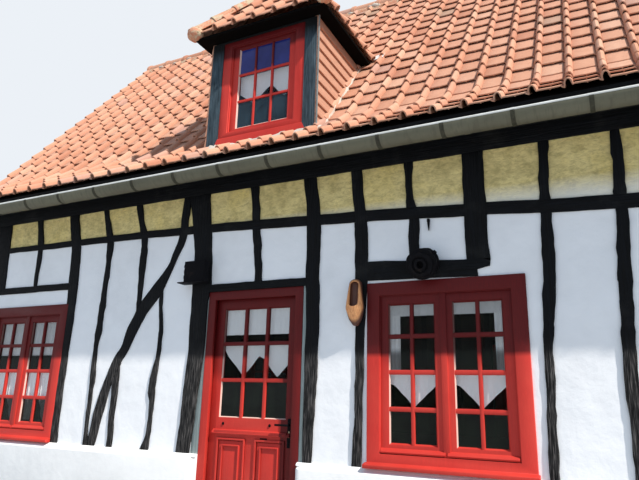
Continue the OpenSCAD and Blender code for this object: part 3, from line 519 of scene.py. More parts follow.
def red_paint(name, colour, shade):
    """Old red gloss, with painted shade: on the front it is painted dark maroon above 1.70 m where the eaves' shadow
    falls, and on the dormer above the shade height, and stays bright red below.
    """
    f = Finish(name, colour, 0.5, 0.22)
    brush = f.noise(30, 4, 0.6, (6, 6, 0.5))
    fade = f.noise(2.4, 4)
    stroke = f.ramp(brush, (0.3, tuple(c * 0.85 for c in colour)), (0.7, colour))
    bright = f.mix(f.ramp(fade, (0.35, 0.0), (0.75, 0.5)), stroke, srgb(208, 74, 62))
    # Painted shade of the eaves: dark from 1.70 m up to 3 m on the wall, fading out by 3.6 m, and dark again above the
    # shade height on the dormer
    under = f.by_place("Z", (1.665, 0.0), (1.70, 0.94), (3.0, 1.0), (3.6, 0.0), (shade, 0.0), (shade + 0.05, 0.95))
    # Painted shadow: the strip of the front door beside its right post, from x -1.61 to -1.41 and below 3 m, is painted
    # dark maroon
    corner = f.times(f.by_place("X", (-1.62, 0.0), (-1.61, 0.9), (-1.41, 0.9), (-1.40, 0.0)),
        f.by_place("Z", (3.0, 1.0), (3.1, 0.0)))
    # The painted shade is kept to the front wall; the other walls keep a little of it
    front = f.by_place("Y", (-2.42, 1.0), (-2.40, 0.15))
    painted_shade = f.times(f.maths(under, corner, "MAXIMUM"), front)
    f.colour(f.mix(painted_shade, bright, f.shades(brush, (0.3, 72, 9, 12), (0.7, 90, 13, 16))))
    f.rough(f.ramp(fade, (0.3, 0.42), (0.7, 0.6)))
    f.bump(brush, 0.0008)
    return f.material


def tile_clay():
    """Weathered clay: each tile its own tone, with grit, dirt and a few mossy spots."""
    f = Finish("tile_clay", srgb(214, 156, 126), 0.88, 0.12)
    tone = f.add("ShaderNodeAttribute", attribute_name="tone").outputs["Fac"]
    c = f.shades(tone, (0.0, 184, 130, 106), (0.15, 196, 144, 118), (0.45, 204, 155, 129), (0.7, 198, 146, 122),
        (0.9, 208, 165, 140), (0.97, 190, 150, 134), (1.0, 176, 146, 124))
    grit = f.noise(140, 4, 0.75)
    stain = f.noise(9, 5, 0.7, distortion=0.5)
    moss = f.noise(34, 5, 0.7)
    c = f.mix(f.ramp(stain, (0.46, 0.0), (0.74, 0.35)), c, srgb(178, 122, 96))
    c = f.mix(f.ramp(grit, (0.36, 0.35), (0.5, 0.0)), c, srgb(150, 104, 82))
    f.colour(f.mix(f.ramp(moss, (0.68, 0.0), (0.78, 0.5)), c, srgb(158, 142, 110)))
    f.bump(f.maths(grit, f.times(stain, 1.5)), 0.0025)
    return f.material


def lichen_clay():
    """Rough clay and mortar with pale lichen and brown moss."""
    f = Finish("lichen_clay", srgb(206, 152, 124), 0.9, 0.15)
    grit = f.noise(110, 4, 0.7)
    bloom = f.noise(11, 6, 0.7, distortion=0.7)
    moss = f.noise(19, 5, 0.6)
    c = f.shades(grit, (0.3, 180, 118, 90), (0.6, 210, 152, 124))
    c = f.mix(f.ramp(bloom, (0.46, 0.0), (0.58, 0.85)), c, srgb(196, 186, 158))
    f.colour(f.mix(f.ramp(moss, (0.6, 0.0), (0.7, 0.8)), c, srgb(112, 92, 58)))
    f.bump(f.maths(grit, bloom), 0.004)
    return f.material


def old_glass(name, dark, light, rows, sky=None):
    """Old panes with faint ripples, tinted dark as painted shade of the rooms behind them. Each row is (height, cover),
    the cover darkening the panes row by row as painted shade where the room shows; on the other walls they are dark all
    over. Where a sky colour is given, the top row carries a painted blue sky reflection.
    """
    f = Finish(name, light, 0.04, 0.2, IOR=1.5)
    top = 5.0
    height = f.maths(f.along("Z"), top, "DIVIDE")
    # Painted shade: the panes on the other walls are dark all over
    behind = f.maths(f.along("Y"), -2.45, "GREATER_THAN")
    # Painted shade: the front panes darken row by row where the dark room shows and clear where lace hangs
    cover = f.ramp(height, *((z / top, share) for z, share in rows))
    f.feed("Alpha", f.mix(behind, cover, (0.93, 0.93, 0.93)))
    tint = f.ramp(f.noise(5, 3), (0.35, dark), (0.7, light))
    # Painted reflection: the dormer's top row is painted blue as the sky mirrored in it
    if sky:
        painted_sky_reflection = f.ramp(f.noise(3, 3), (0.35, srgb(28, 34, 92)), (0.7, sky))
        tint = f.mix(f.ramp(height, (0.878, 0.0), (0.882, 1.0)), tint, painted_sky_reflection)
    f.colour(tint)
    f.bump(f.noise(3.5, 2, 0.4), 0.004)
    return f.material


def sheet_zinc():
    """Dull zinc with runs of dirt."""
    f = Finish("sheet_zinc", srgb(110, 108, 90), 0.65, 0.25)
    patina = f.noise(6, 5, 0.65, (0.35, 1, 1))
    run = f.noise(40, 3, 0.6, (1, 0.2, 0.2))
    c = f.shades(patina, (0.3, 92, 90, 75), (0.7, 108, 106, 89))
    f.colour(f.mix(f.ramp(run, (0.5, 0.0), (0.72, 0.5)), c, srgb(78, 76, 64)))
    f.rough(f.ramp(patina, (0.3, 0.42), (0.7, 0.66)))
    f.bump(patina, 0.0015)
    return f.material


def black_iron():
    """Pitted black iron, here and there brown with rust."""
    f = Finish("black_iron", srgb(14, 14, 17), 0.8, 0.08)
    rust = f.noise(14, 5, 0.7)
    pit = f.noise(90, 3, 0.7)
    c = f.shades(pit, (0.3, 6, 6, 9), (0.7, 20, 20, 24))
    f.colour(f.mix(f.ramp(rust, (0.58, 0.0), (0.74, 0.6)), c, srgb(44, 36, 32)))
    f.rough(f.ramp(pit, (0.3, 0.6), (0.7, 0.85)))
    f.bump(pit, 0.0015)
    return f.material


def grained(name, dark, light, stretch, roughness, depth, scale, gloss):
    """Wood or brushed metal, its grain drawn out by the stretch."""
    f = Finish(name, srgb(*light), roughness, gloss)
    grain = f.noise(scale, 6, 0.6, stretch, 0.8)
    fine = f.noise(scale * 5, 3, 0.6, stretch)
    c = f.shades(grain, (0.32, *dark), (0.66, *light))
    f.colour(f.mix(f.ramp(fine, (0.4, 0.0), (0.7, 0.35)), c, srgb(*dark)))
    f.rough(f.ramp(grain, (0.3, roughness - 0.08), (0.7, roughness + 0.1)))
    f.bump(f.maths(grain, f.times(fine, 0.4)), depth)
    return f.material


def clog_wood():
    """Bare orange wood, painted dark brown as shade where it lies nearest the wall and in its hollow."""
    f = Finish("clog_wood", srgb(224, 154, 98), 0.5)
    grain = f.noise(20, 6, 0.6, (5, 5, 0.9), 0.8)
    c = f.shades(grain, (0.3, 196, 122, 74), (0.66, 240, 176, 116))
    # Painted shade: dark brown where the clog lies nearest the wall, over its hollow and the sides against the wall
    f.colour(f.mix(f.by_place("Y", (-2.668, 0.0), (-2.652, 0.95)), c, srgb(66, 30, 28)))
    f.bump(grain, 0.002)
    return f.material


def dormer_wood():
    """Blue grey boards, painted almost black at the top as the shade under the dormer's soffit."""
    f = Finish("dormer_wood", srgb(76, 92, 102), 0.8, 0.15)
    grain = f.noise(14, 6, 0.6, (7, 7, 0.3), 0.8)
    fine = f.noise(70, 3, 0.6, (7, 7, 0.3))
    c = f.shades(grain, (0.32, 24, 36, 44), (0.66, 86, 104, 114))
    c = f.mix(f.ramp(fine, (0.4, 0.0), (0.7, 0.45)), c, srgb(22, 32, 40))
    # Painted shade: almost black from 4.58 m up, under the dormer's soffit
    f.colour(f.mix(f.by_place("Z", (4.58, 0.0), (4.72, 0.95)), c, srgb(12, 14, 15)))
    f.bump(f.maths(grain, fine), 0.006)
    return f.material


def lace():
    """Cotton lace: a woven ground with open stripes and holes, seen against the dark room. It glows faintly, painted
    light, so that it shows white behind the panes.
    """
    # Painted light: a faint emission keeps the lace white behind the panes
    f = Finish("lace", srgb(236, 240, 242), 0.9, Sheen_Weight=0.2, Emission_Color=(*srgb(226, 236, 246), 1),
        Emission_Strength=0.26)
    place = f.add("ShaderNodeUVMap").outputs[0]
    bands = f.add("ShaderNodeTexWave", {"Vector": place, "Scale": 22.0, "Distortion": 0.4, "Detail": 1.0},
        bands_direction="Y").outputs["Fac"]
    holes = f.add("ShaderNodeTexVoronoi", {"Vector": place, "Scale": 130.0}).outputs["Distance"]
    f.colour(f.shades(bands, (0.25, 238, 241, 243), (0.6, 252, 253, 253)))
    f.feed("Alpha", f.times(f.ramp(bands, (0.2, 0.86), (0.5, 1.0)), f.ramp(holes, (0.1, 0.86), (0.4, 1.0))))
    f.bump(f.maths(bands, holes), 0.001)
    return f.material


def putty_highlight_paint():
    """Pale putty, a painted highlight that is put only on the sunlit sides of the panes, painted dark maroon from 1.70
    m to 3.5 m as the same painted shade as the red paint.
    """
    pale = srgb(214, 178, 166)
    f = Finish("putty", pale, 0.7)
    # Painted shade of the eaves, as on the red paint
    painted_shade = f.by_place("Z", (1.66, 0.0), (1.70, 0.9), (3.5, 0.9), (3.6, 0.0))
    f.colour(f.mix(painted_shade, pale, srgb(70, 24, 24)))
    f.bump(f.noise(40, 3), 0.0006)
    return f.material


def room_floor():
    """Grey brown stone."""
    f = Finish("floor_slabs", srgb(150, 138, 124), 0.7)
    stone = f.noise(5, 5, 0.6)
    f.colour(f.shades(stone, (0.3, 120, 108, 96), (0.7, 168, 156, 140)))
    f.bump(stone, 0.002)
    return f.material


# Name, dark and light colour, stretch of the grain, roughness, depth of the relief, scale and gloss
GRAINED = {
    # lip: the rolled gutter edges and clips are pale zinc, a painted highlight
    "lip": ("bright_zinc", (196, 197, 192), (228, 229, 226), (0.3, 1, 1), 0.45, 0.0005, 30, 0.5),
    # strap: the brackets are darker zinc, painted shade of the shadow line beside each
    "strap": ("dull_zinc", (56, 55, 46), (76, 74, 62), (1, 1, 1), 0.7, 0.0005, 30, 0.1),
    "pitch": ("pitched_boards", (6, 6, 6), (14, 12, 11), (0.4, 6, 6), 0.9, 0.002, 14, 0.03),
    "corner": ("grey_zinc", (92, 98, 98), (150, 156, 154), (6, 6, 0.6), 0.6, 0.001, 30, 0.5),
    "cheek": ("cheek_wood", (172, 122, 98), (196, 148, 122), (6, 0.5, 6), 0.8, 0.002, 14, 0.5),
    "strip": ("grey_green_board", (124, 136, 134), (162, 174, 172), (6, 6, 0.4), 0.6, 0.001, 14, 0.5),
    "raw": ("rafter_wood", (120, 86, 54), (176, 136, 92), (6, 0.8, 0.8), 0.75, 0.002, 14, 0.5),
    "planks": ("floor_planks", (130, 96, 62), (180, 142, 100), (0.5, 6, 6), 0.6, 0.002, 14, 0.5),
    "brass": ("worn_brass", (120, 104, 70), (190, 176, 140), (1, 1, 1), 0.4, 0.0005, 60, 0.5),
}
PAINTS = {}


def paint(key):
    """The finish of that name, made on first use."""
    if key not in PAINTS:
        look = bpy.context.scene.house_finish
        # The panes' dark tints, named room, are painted shade of the rooms behind them
        red, room = tuple(look.red), (srgb(8, 12, 9), srgb(20, 28, 20))
        maker, *details = {
            # lime: the True darkens the walls' inner faces, painted shade of the rooms
            "lime": (lime_render, "lime_render", tuple(look.lime), 0.006, True),
            "plinth": (lime_render, "plinth_render", srgb(244, 244, 243), 0.004),
            "mortar": (lime_render, "mortar", srgb(196, 188, 176), 0.02),
            "putty_white": (lime_render, "weathered_zinc", srgb(214, 214, 212), 0.002),
            "daub": (daub_render,),
            "upright": (tarred_timber, "tarred_upright", (2.4, 2.4, 0.12)),
            "level": (tarred_timber, "tarred_level", (0.12, 2.4, 2.4)),
            "board": (tarred_timber, "tarred_board", (0.1, 3.0, 3.0)),
            # red and bar_red: the dormer's paint carries painted shade above the height given last
            "red": (red_paint, "red_paint", red, 4.57),
            "bar_red": (red_paint, "shaded_bar_red", red, 4.40),
            "clay": (tile_clay,),
            "lichen": (lichen_clay,),
            # The shares of dark glass row by row are painted shade of the rooms; the dormer's top row carries a painted
            # sky reflection
            "glass": (old_glass, "old_glass", *room, ((1.0, 0.7), (1.3, 0.7), (1.31, 0.12), (1.56, 0.12),
                (1.57, 0.55), (1.69, 0.55), (1.73, 0.22), (2.1, 0.28))),
            "door_glass": (old_glass, "door_glass", *room, ((1.0, 0.9), (1.49, 0.9), (1.5, 0.15), (2.1, 0.15))),
            "sky_glass": (old_glass, "sky_glass", srgb(30, 48, 60), srgb(54, 78, 92), ((3.6, 0.6), (4.1, 0.6),
                (4.12, 0.15), (4.38, 0.15), (4.41, 0.95)), srgb(46, 56, 128)),
            "zinc": (sheet_zinc,),
            "iron": (black_iron,),
            "lace": (lace,),
            "dormer_wood": (dormer_wood,),
            "clog": (clog_wood,),
            "putty": (putty_highlight_paint,),
            "stone": (room_floor,),
        }.get(key) or (grained, *GRAINED[key])
        PAINTS[key] = maker(*details)
    return PAINTS[key]


# Settings


def length_property(name, description, default, least, most):
    return FloatProperty(name=name, description=description, default=default, min=least, max=most, unit="LENGTH")


def colour_property(name, description, default):
    return FloatVectorProperty(name=name, description=description, subtype="COLOR", min=0, max=1, default=default)


class FinishSettings(bpy.types.PropertyGroup):
    red: colour_property("Joinery red", "Paint of doors and windows", srgb(198, 54, 46))
    lime: colour_property("Lime white", "Render of the lower panels", srgb(246, 247, 249))


class TileSettings(bpy.types.PropertyGroup):
    columns: IntProperty(name="Columns", description="Tiles side by side on a slope", default=52, min=30, max=70)
    courses: IntProperty(name="Courses", description="Courses above the kick", default=16, min=8, max=20)
    length: length_property("Tile length", "Length of one tile", 0.34, 0.2, 0.5)
    unevenness: length_property("Unevenness", "How far a tile lies off its line", 0.004, 0, 0.02)


class TimberSettings(bpy.types.PropertyGroup):
    wander: length_property("Edge wander", "How far a hewn edge wanders", 0.010, 0, 0.03)
    slice: length_property("Slice", "Length between two points of a hewn edge", 0.055, 0.02, 0.3)
    arris: length_property("Arris", "Rounding of the timbers' edges", 0.006, 0.001, 0.02)


class WallSettings(bpy.types.PropertyGroup):
    lower_lumps: length_property("Lower lumps", "Unevenness of the white panels", 0.005, 0, 0.012)
    upper_lumps: length_property("Upper lumps", "Unevenness of the panels under the eaves", 0.009, 0, 0.012)
    grid: length_property("Grid", "Size of the faces of a panel", 0.06, 0.03, 0.2)


class JoinerySettings(bpy.types.PropertyGroup):
    upright_bar: length_property("Upright bar", "Width of an upright glazing bar", 0.028, 0.015, 0.05)
    level_bar: length_property("Level bar", "Width of a level glazing bar", 0.034, 0.015, 0.05)
    easing: length_property("Easing", "Rounding of the joinery's edges", 0.004, 0.001, 0.01)


class StageSettings(bpy.types.PropertyGroup):
    key: FloatProperty(name="Key light", description="Strength of the key light", default=5.6, min=0, max=8)
    sky: FloatProperty(name="Sky light", description="Strength of the light from all round", default=0.62,
        min=0, max=2)
    lens: FloatProperty(name="Lens", description="Focal length of the camera", default=32.885, min=10, max=100,
        unit="CAMERA")


# Roof


def pantile(span):
    """One pantile and its width: a roll on the left and a flat pan, drawn across and extruded along."""
    w = (2 * VERGE - 0.016) / bpy.context.scene.house_tiles.columns
    across = [(0, -0.008), (0, 0.012), (0.004, 0.028), (0.013, 0.041), (0.028, 0.047), (0.043, 0.041),
        (0.052, 0.028), (0.056, 0.012), (0.058, 0.001), (0.065, 0.005), (w / 2 + 0.03, 0.003), (w - 0.012, 0.005),
        (w - 0.005, -0.004), (w + 0.012, -0.01)]
    tile = thickened(drawn_up([(x, 0, z) for x, z in across], (0, span, 0)), 0.011)
    edit(tile)
    pick("edges", lambda e: all(v.co.y < 0.001 for v in e.verts)
        and abs(e.verts[0].co.x - e.verts[1].co.x) > 0.004 and sum(f.normal.z > 0.3 for f in e.link_faces) == 1)
    bpy.ops.mesh.bevel(offset=0.003, segments=1, affect="EDGES")
    leave()
    nib = block((w / 2 + 0.026, -0.003, -0.013), (w / 2 + 0.034, 0.004, 0.0))
    return joined([tile, nib]), w


def toned(tile, places, chance, keep=False):
    """Copies a tile to each place, and gives each copy its own tone."""
    vertices = len(tile.data.vertices)
    made = repeated(tile, places, keep)
    count = len(made.data.vertices)
    tones = [chance.random() for _ in range(count // vertices + 1)]
    layer = made.data.attributes.new("tone", "FLOAT", "POINT")
    layer.data.foreach_set("value", [tones[i // vertices] for i in range(count)])
    return made


def tile_place(x, low, high, side, tilt=0.0):
    """Place of a tile whose foot is at low and head towards high, on the front (-1) or rear slope."""
    up = (high - low).normalized()
    across = Vector((1, 0, 0))
    turn = Matrix((across, up, across.cross(up))).transposed().to_4x4()
    place = Matrix.Translation(Vector((x, low.y, low.z))) @ turn @ Matrix.Rotation(tilt, 4, "Z")
    return place if side < 0 else Matrix.Rotation(math.pi, 4, "Z") @ place


class HOUSE_OT_pantiles(bpy.types.Operator):
    """Lay the pantiles of both slopes on their underlay"""
    bl_idname = "house.pantiles"
    bl_label = "Pantiles"

    def execute(self, context):
        s = context.scene.house_tiles
        tile, w = pantile(s.length)
        chance = random.Random(7)
        top = KICK_LENGTH + (HALF_D - KINK) / math.cos(PITCH)
        feet = [0.0, KICK_LENGTH * 0.36, KICK_LENGTH * 0.72]
        step = (top - 0.06 - feet[-1]) / (s.courses + 1)
        feet += [feet[-1] + step * (k + 1) for k in range(s.courses)]
        whole = {"front": [], "rear": [], "left": [], "right": [], "foot": []}
        x_in, x_out = DORMER_X - DORMER_SIDE, DORMER_X + DORMER_SIDE
        for side in (-1, 1):
            for foot in feet:
                sag = 0.004 * noise.noise(Vector((foot * 3, side, 0)))
                for column in range(s.columns):
                    x = -VERGE + 0.002 + column * w
                    jitter = [chance.uniform(-1, 1) * s.unevenness for _ in range(4)]
                    head = min(foot + s.length, top - 0.01)
                    low = roof_point(foot + (jitter[0] if foot else 0), 0.012 + sag + 0.4 * jitter[1])
                    high = roof_point(head, -0.022 + sag)
                    x_kept = max(min(x + 0.5 * jitter[2], VERGE - w - 0.014), -VERGE + 0.002)
                    tilt = jitter[3] * 0.8 if 0 < column < s.columns - 1 else 0
                    place = tile_place(x_kept, low, high, side, tilt)
                    depth = low.y + HALF_D
                    behind = roof_z(depth) < DORMER_SOFFIT + 0.02 and high.y + HALF_D > 0
                    if side > 0:
                        whole["rear"].append(place)
                    elif not behind or x + w + 0.012 < x_in or x > x_out:
                        whole["front"].append(place)
                    else:
                        if x < x_in:
                            whole["left"].append(place)
                        elif x + w + 0.012 > x_out:
                            whole["right"].append(place)
                        if depth < 0:
                            whole["foot"].append(place)
        made = {key: toned(tile, places, chance, keep=True) for key, places in whole.items()}
        bpy.data.objects.remove(tile)
        for key, x, y, normal in (("left", x_in, 0, (1, 0, 0)), ("right", x_out, 0, (-1, 0, 0)),
                ("foot", x_in, 0, (-1, 0, 0)), ("foot", x_out, 0, (1, 0, 0)),
                ("foot", 0, -HALF_D + 0.005, (0, 1, 0))):
            sliced(made[key], (x, y, 0), normal)
        front = joined([made[key] for key in ("front", "left", "right", "foot")])
        set_piece(front, "pantiles_front", "clay", "roof_tile", ["roof_front"], 38)
        set_piece(made["rear"], "pantiles_rear", "clay", "roof_tile", ["roof_rear"], 38)
        # Dark boarding under the tiles, open where the dormer stands
        edge, eave, upper, under = VERGE - 0.004, EAVE + 0.015, 0.042, 0.06
        above = KINK + (DORMER_SOFFIT - roof_z(KINK, under)) / math.tan(PITCH)
        fields = ((-edge, x_in, eave, HALF_D), (x_out, edge, eave, HALF_D), (x_in, x_out, eave, -0.001),
            (x_in, x_out, above, HALF_D))
        boards = joined([roof_layer(*field, upper, under) for field in fields])
        set_piece(boards, "boarding_front", "board", "edge_board", ["roof_front"])
        rear = roof_layer(-edge, edge, eave, HALF_D, upper, under, 1)
        set_piece(rear, "boarding_rear", "board", "edge_board", ["roof_rear"])
        return {"FINISHED"}


class HOUSE_OT_ridge(bpy.types.Operator):
    """Set the ridge tiles in mortar along the top"""
    bl_idname = "house.ridge"
    bl_label = "Ridge"

    def execute(self, context):
        chance = random.Random(11)
        arc, radius, span = range(-18, 199, 18), 0.112, 0.40
        cap = thickened(drawn_up(ring(radius, arc), (span, 0, 0)), 0.014)
        collar = thickened(drawn_up(ring(radius + 0.012, arc), (0.05, 0, 0)), 0.02)
        count = round(2 * VERGE / 0.385)
        step = (2 * VERGE - span) / (count - 1)
        places = []
        for k in range(count):
            drop = 0.010 + chance.uniform(0, 0.008)
            places.append(Matrix.Translation((-VERGE + k * step, chance.uniform(-0.004, 0.004), 6.784 - drop))
                @ Matrix.Rotation(chance.uniform(-0.012, 0.012), 4, "X"))
        ridge = toned(joined([cap, collar]), places, chance)
        set_piece(ridge, "ridge_tiles", "clay", "roof_tile", ["ridge_cap"], 40)
        section = ((0.07, 6.72), (0.135, 6.67), (0.135, 6.71), (0.11, 6.765))
        beds = [lumpy(drawn([(-VERGE + 0.01, side * y, z) for y, z in section], (2 * VERGE - 0.02, 0, 0)),
            0.1, 0.010, 7) for side in (-1, 1)]
        set_piece(joined(beds), "ridge_mortar", "lichen", "roof_tile", smooth=60)
        bits = []
        for _ in range(46):
            x, side = chance.uniform(-VERGE + 0.06, VERGE - 0.06), chance.choice((-1, 1))
            size = chance.uniform(0.012, 0.03)
            place = (x, side * 0.122, 6.735 + chance.uniform(-0.015, 0.02))
            bit = primitive("ico_sphere", place, (2.2 * size, 0.8 * size, size), subdivisions=2, radius=1)
            bits.append(worn(bit, 40, 0.008))
        set_piece(joined(bits), "mortar_bits", "mortar", smooth=60)
        return {"FINISHED"}


# Walls and timbers


def hewn(obj, slice_x, slice_z, wander, arris, turn=None, holes=(), waist=0.0):
    """Slices timbers, lets their edges wander and rounds the arrises. turn brings their wall to the front."""
    if turn:
        obj.data.transform(turn)
    points = [v.co for v in obj.data.vertices]
    edit(obj)
    for axis, step in ((0, slice_x), (2, slice_z)):
        if step:
            lo, hi = min(p[axis] for p in points), max(p[axis] for p in points)
            count = int((hi - lo) / step)
            for k in range(1, count):
                scored(axis, lo + (hi - lo) * (k + 0.13) / count)
    leave()
    sides = [v.normal.x for v in obj.data.vertices]
    for v in obj.data.vertices:
        x, z = v.co.x, v.co.z
        free = 1.0
        for x0, x1, z0, z1 in holes:
            gap = math.hypot(max(x0 - x, 0, x - x1), max(z0 - z, 0, z - z1))
            free = min(free, gap / 0.05)
        broad = noise.noise_vector(Vector((x * 5, 0, z * 5)))
        fine = noise.noise_vector(Vector((x * 19, 7, z * 19)))
        v.co.x += free * wander * (broad.x + 0.45 * fine.x)
        if waist and abs(sides[v.index]) > 0.25:
            knot = max(noise.noise(Vector((x * 2, 3, z * 9))), 0)
            v.co.x -= math.copysign(free * (waist - 0.024 * knot), sides[v.index])
        v.co.z += 0.5 * free * wander * (broad.z + 0.4 * fine.z)
        if v.co.y < -HALF_D + 0.05:
            v.co.y += 0.003 * fine.y + 0.002
    softened(obj, arris, 50, use_clamp_overlap=True)
    if turn:
        obj.data.transform(turn.inverted())
    return obj


class HOUSE_OT_timbers(bpy.types.Operator):
    """Hew the timbers of all four walls"""
    bl_idname = "house.timbers"
    bl_label = "Timbers"

    def execute(self, context):
        t = context.scene.house_timbers
        for node, finish, waist in (("front_posts", "upright", 0.0), ("front_studs", "upright", 0.008),
                ("front_braces", "upright", 0.0), ("front_rails", "level", 0.0), ("front_lintels", "level", 0.0)):
            slices = (t.slice, 0) if finish == "level" else (0, t.slice)
            obj = hewn(merged_copy(node), *slices, t.wander, t.arris, holes=HOLES, waist=waist)
            set_piece(obj, node.replace("front", "hewn"), finish, "frame_timber", [node], 35)
        rear = hewn(merged_copy("rear_frame"), 0, 0.3, 0.0, t.arris, turned(math.pi))
        set_piece(rear, "hewn_rear_frame", "upright", "frame_timber", ["rear_frame"], 35)
        for node, finish, degrees in (("gable_frames", "upright", 50), ("wall_plates", "level", 30)):
            obj = bevelled(node, t.arris, degrees)
            set_piece(obj, f"hewn_{node}", finish, "frame_timber", [node], 35)
        return {"FINISHED"}


class HOUSE_OT_panels(bpy.types.Operator):
    """Render the panels of the front between the timbers"""
    bl_idname = "house.panels"
    bl_label = "Wall panels"

    def execute(self, context):
        w = context.scene.house_walls
        x0, x1, z0, z1 = -HALF_W + 0.02, HALF_W - 0.02, PLINTH - 0.02, PLATE + 0.02
        wall = upright_plane(x0, x1, z0, z1, INFILL_Y, "grid",
            x_subdivisions=round((x1 - x0) / w.grid), y_subdivisions=round((z1 - z0) / w.grid * 1.6))
        holes = [(a + 0.03, b - 0.03, d - 0.03) for a, b, _, d in HOLES[:3]] + [(-2.45, -1.36, 2.28)]
        edit(wall)
        for a, b, d in holes:
            for axis, at in ((0, a), (0, b), (2, d)):
                scored(axis, at)
        pick("faces", lambda f: any(a < f.calc_center_median().x < b and f.calc_center_median().z < d
            for a, b, d in holes))
        bpy.ops.mesh.delete(type="FACE")
        leave()
        for v in wall.data.vertices:
            up = v.co.z > rail_z(v.co.x)
            p = v.co * (5.5 if up else 2.6)
            v.co.y += (w.upper_lumps if up else w.lower_lumps) * (noise.noise(p) + 0.4 * noise.noise(p * 3.1) + 0.3)
        thickened(wall, 0.17, -1 if wall.data.polygons[0].normal.y < 0 else 1)
        upper = split_off(wall, lambda f: f.calc_center_median().z > rail_z(f.calc_center_median().x))
        left = split_off(wall, lambda f: f.calc_center_median().x < -1.9)
        for obj, name, finish, slot, nodes in (
                (upper, "panels_under_eaves", "daub", "upper_infill", ["front_infill_upper"]),
                (left, "panels_left_of_door", "lime", "lower_infill", ["front_infill_left", "front_infill_over_door"]),
                (wall, "panels_right_of_door", "lime", "lower_infill", ["front_infill_right"])):
            set_piece(obj, name, finish, slot, nodes, 50)
        return {"FINISHED"}


# Joinery


def eased(node, width, finish, name, slot="red_joinery", body="house"):
    """A CAD node's copy with eased edges, as a finished piece."""
    set_piece(bevelled(node, width), name, finish, slot, [node], 35, body)


def glazing_bar(x0, x1, z0, z1, y0, y1, chamfer=0.006):
    """One glazing bar, its front edges chamfered towards the panes."""
    bar = block((x0, y0, z0), (x1, y1, z1))
    long = 2 if z1 - z0 > x1 - x0 else 0
    edit(bar)
    pick("edges", lambda e: all(v.co.y < (y0 + y1) / 2 for v in e.verts)
        and abs((e.verts[0].co - e.verts[1].co)[long]) > 0.05)
    bpy.ops.mesh.bevel(offset=chamfer, segments=2, affect="EDGES")
    return leave()


def crossed_bars(edges, half_x, half_z, upright_y, level_y, chamfer=0.006):
    """Two upright and two level glazing bars that share an opening (x0, x1, z0, z1) in nine panes."""
    x0, x1, z0, z1 = edges
    bars = []
    for k in (1, 2):
        x = x0 + (x1 - x0) * k / 3
        z = z0 + (z1 - z0) * k / 3
        bars.append(glazing_bar(x - half_x, x + half_x, z0 - 0.002, z1 + 0.002, *upright_y, chamfer))
        bars.append(glazing_bar(x0 - 0.002, x1 + 0.002, z - half_z, z + half_z, *level_y, chamfer))
    return joined(bars)


def putty(x0, x1, z0, z1, y_front, y_glass, width, sides):
    """Sloping fillets of putty at the sides of a pane that are named."""
    obj = upright_plane(x0, x1, z0, z1, y_front)
    edit(obj)
    bpy.ops.mesh.inset(thickness=width, depth=0)
    bpy.ops.transform.translate(value=(0, y_glass - y_front, 0))
    bpy.ops.mesh.delete(type="FACE")
    leave()
    gaps = {"left": lambda c: c.x - x0, "right": lambda c: x1 - c.x, "foot": lambda c: c.z - z0,
        "head": lambda c: z1 - c.z}
    edit(obj)
    pick("faces", lambda f: min(gaps, key=lambda g: gaps[g](f.calc_center_median())) not in sides)
    bpy.ops.mesh.delete(type="FACE")
    leave()
    return thickened(obj, 0.0015, 0)


class HOUSE_OT_windows(bpy.types.Operator):
    """Glaze the eight ground floor windows"""
    bl_idname = "house.windows"
    bl_label = "Windows"

    def execute(self, context):
        j = context.scene.house_joinery
        eased("window_frames", j.easing, "red", "window_boards")
        eased("casements", j.easing, "red", "casement_sashes")
        foot, head = 0.165, 1.175
        step = (head - foot - 3 * j.level_bar) / 4 + j.level_bar
        half_x, half_z = j.upright_bar / 2, j.level_bar / 2
        bars, fillets, pale, trims = [], [], [], []
        for x in (-CASEMENT_X, CASEMENT_X):
            bars.append(glazing_bar(x - half_x, x + half_x, foot - 0.002, head + 0.002, 0.030, 0.058))
            for k in range(3):
                z = foot + step * (k + 1) - half_z
                bars.append(glazing_bar(x - 0.1795, x + 0.1795, z - half_z, z + half_z, 0.032, 0.057))
            pane = (x - 0.1775, x + 0.1775, foot, head, 0.032, 0.045)
            # The pale putty on the left of each pane is a painted highlight of the sunlit fillet; the other fillets are
            # painted red
            fillets.append(putty(*pane, 0.011, ("right", "foot", "head")))
            pale.append(putty(*pane, 0.008, ("left",)))
        # A drip under each casement and a moulding round the inside of the frame
        for x in (-CASEMENT_X, CASEMENT_X):
            drip = ((0.025, 0.108), (0.004, 0.106), (-0.002, 0.116), (0.006, 0.13), (0.025, 0.142))
            trims.append(drawn([(x - 0.235, y, z) for y, z in drip], (0.47, 0, 0)))
        edge = 0.4855
        for x in (-edge, edge):
            trims.append(block((x - 0.006, 0.012, 0.1), (x + 0.006, 0.026, 1.24), 0.003, 1))
        trims.append(block((-edge, 0.012, 1.234), (edge, 0.026, 1.246), 0.003, 1))
        for pieces, name, finish, smooth in (
                (bars, "glazing_bars", "red", 35), (fillets, "painted_fillets", "red", None),
                (pale, "glazing_putty", "putty", None), (trims, "window_mouldings", "red", 35)):
            set_piece(repeated(joined(pieces), WINDOW_PLACES), name, finish, "red_joinery", smooth=smooth)
        return {"FINISHED"}


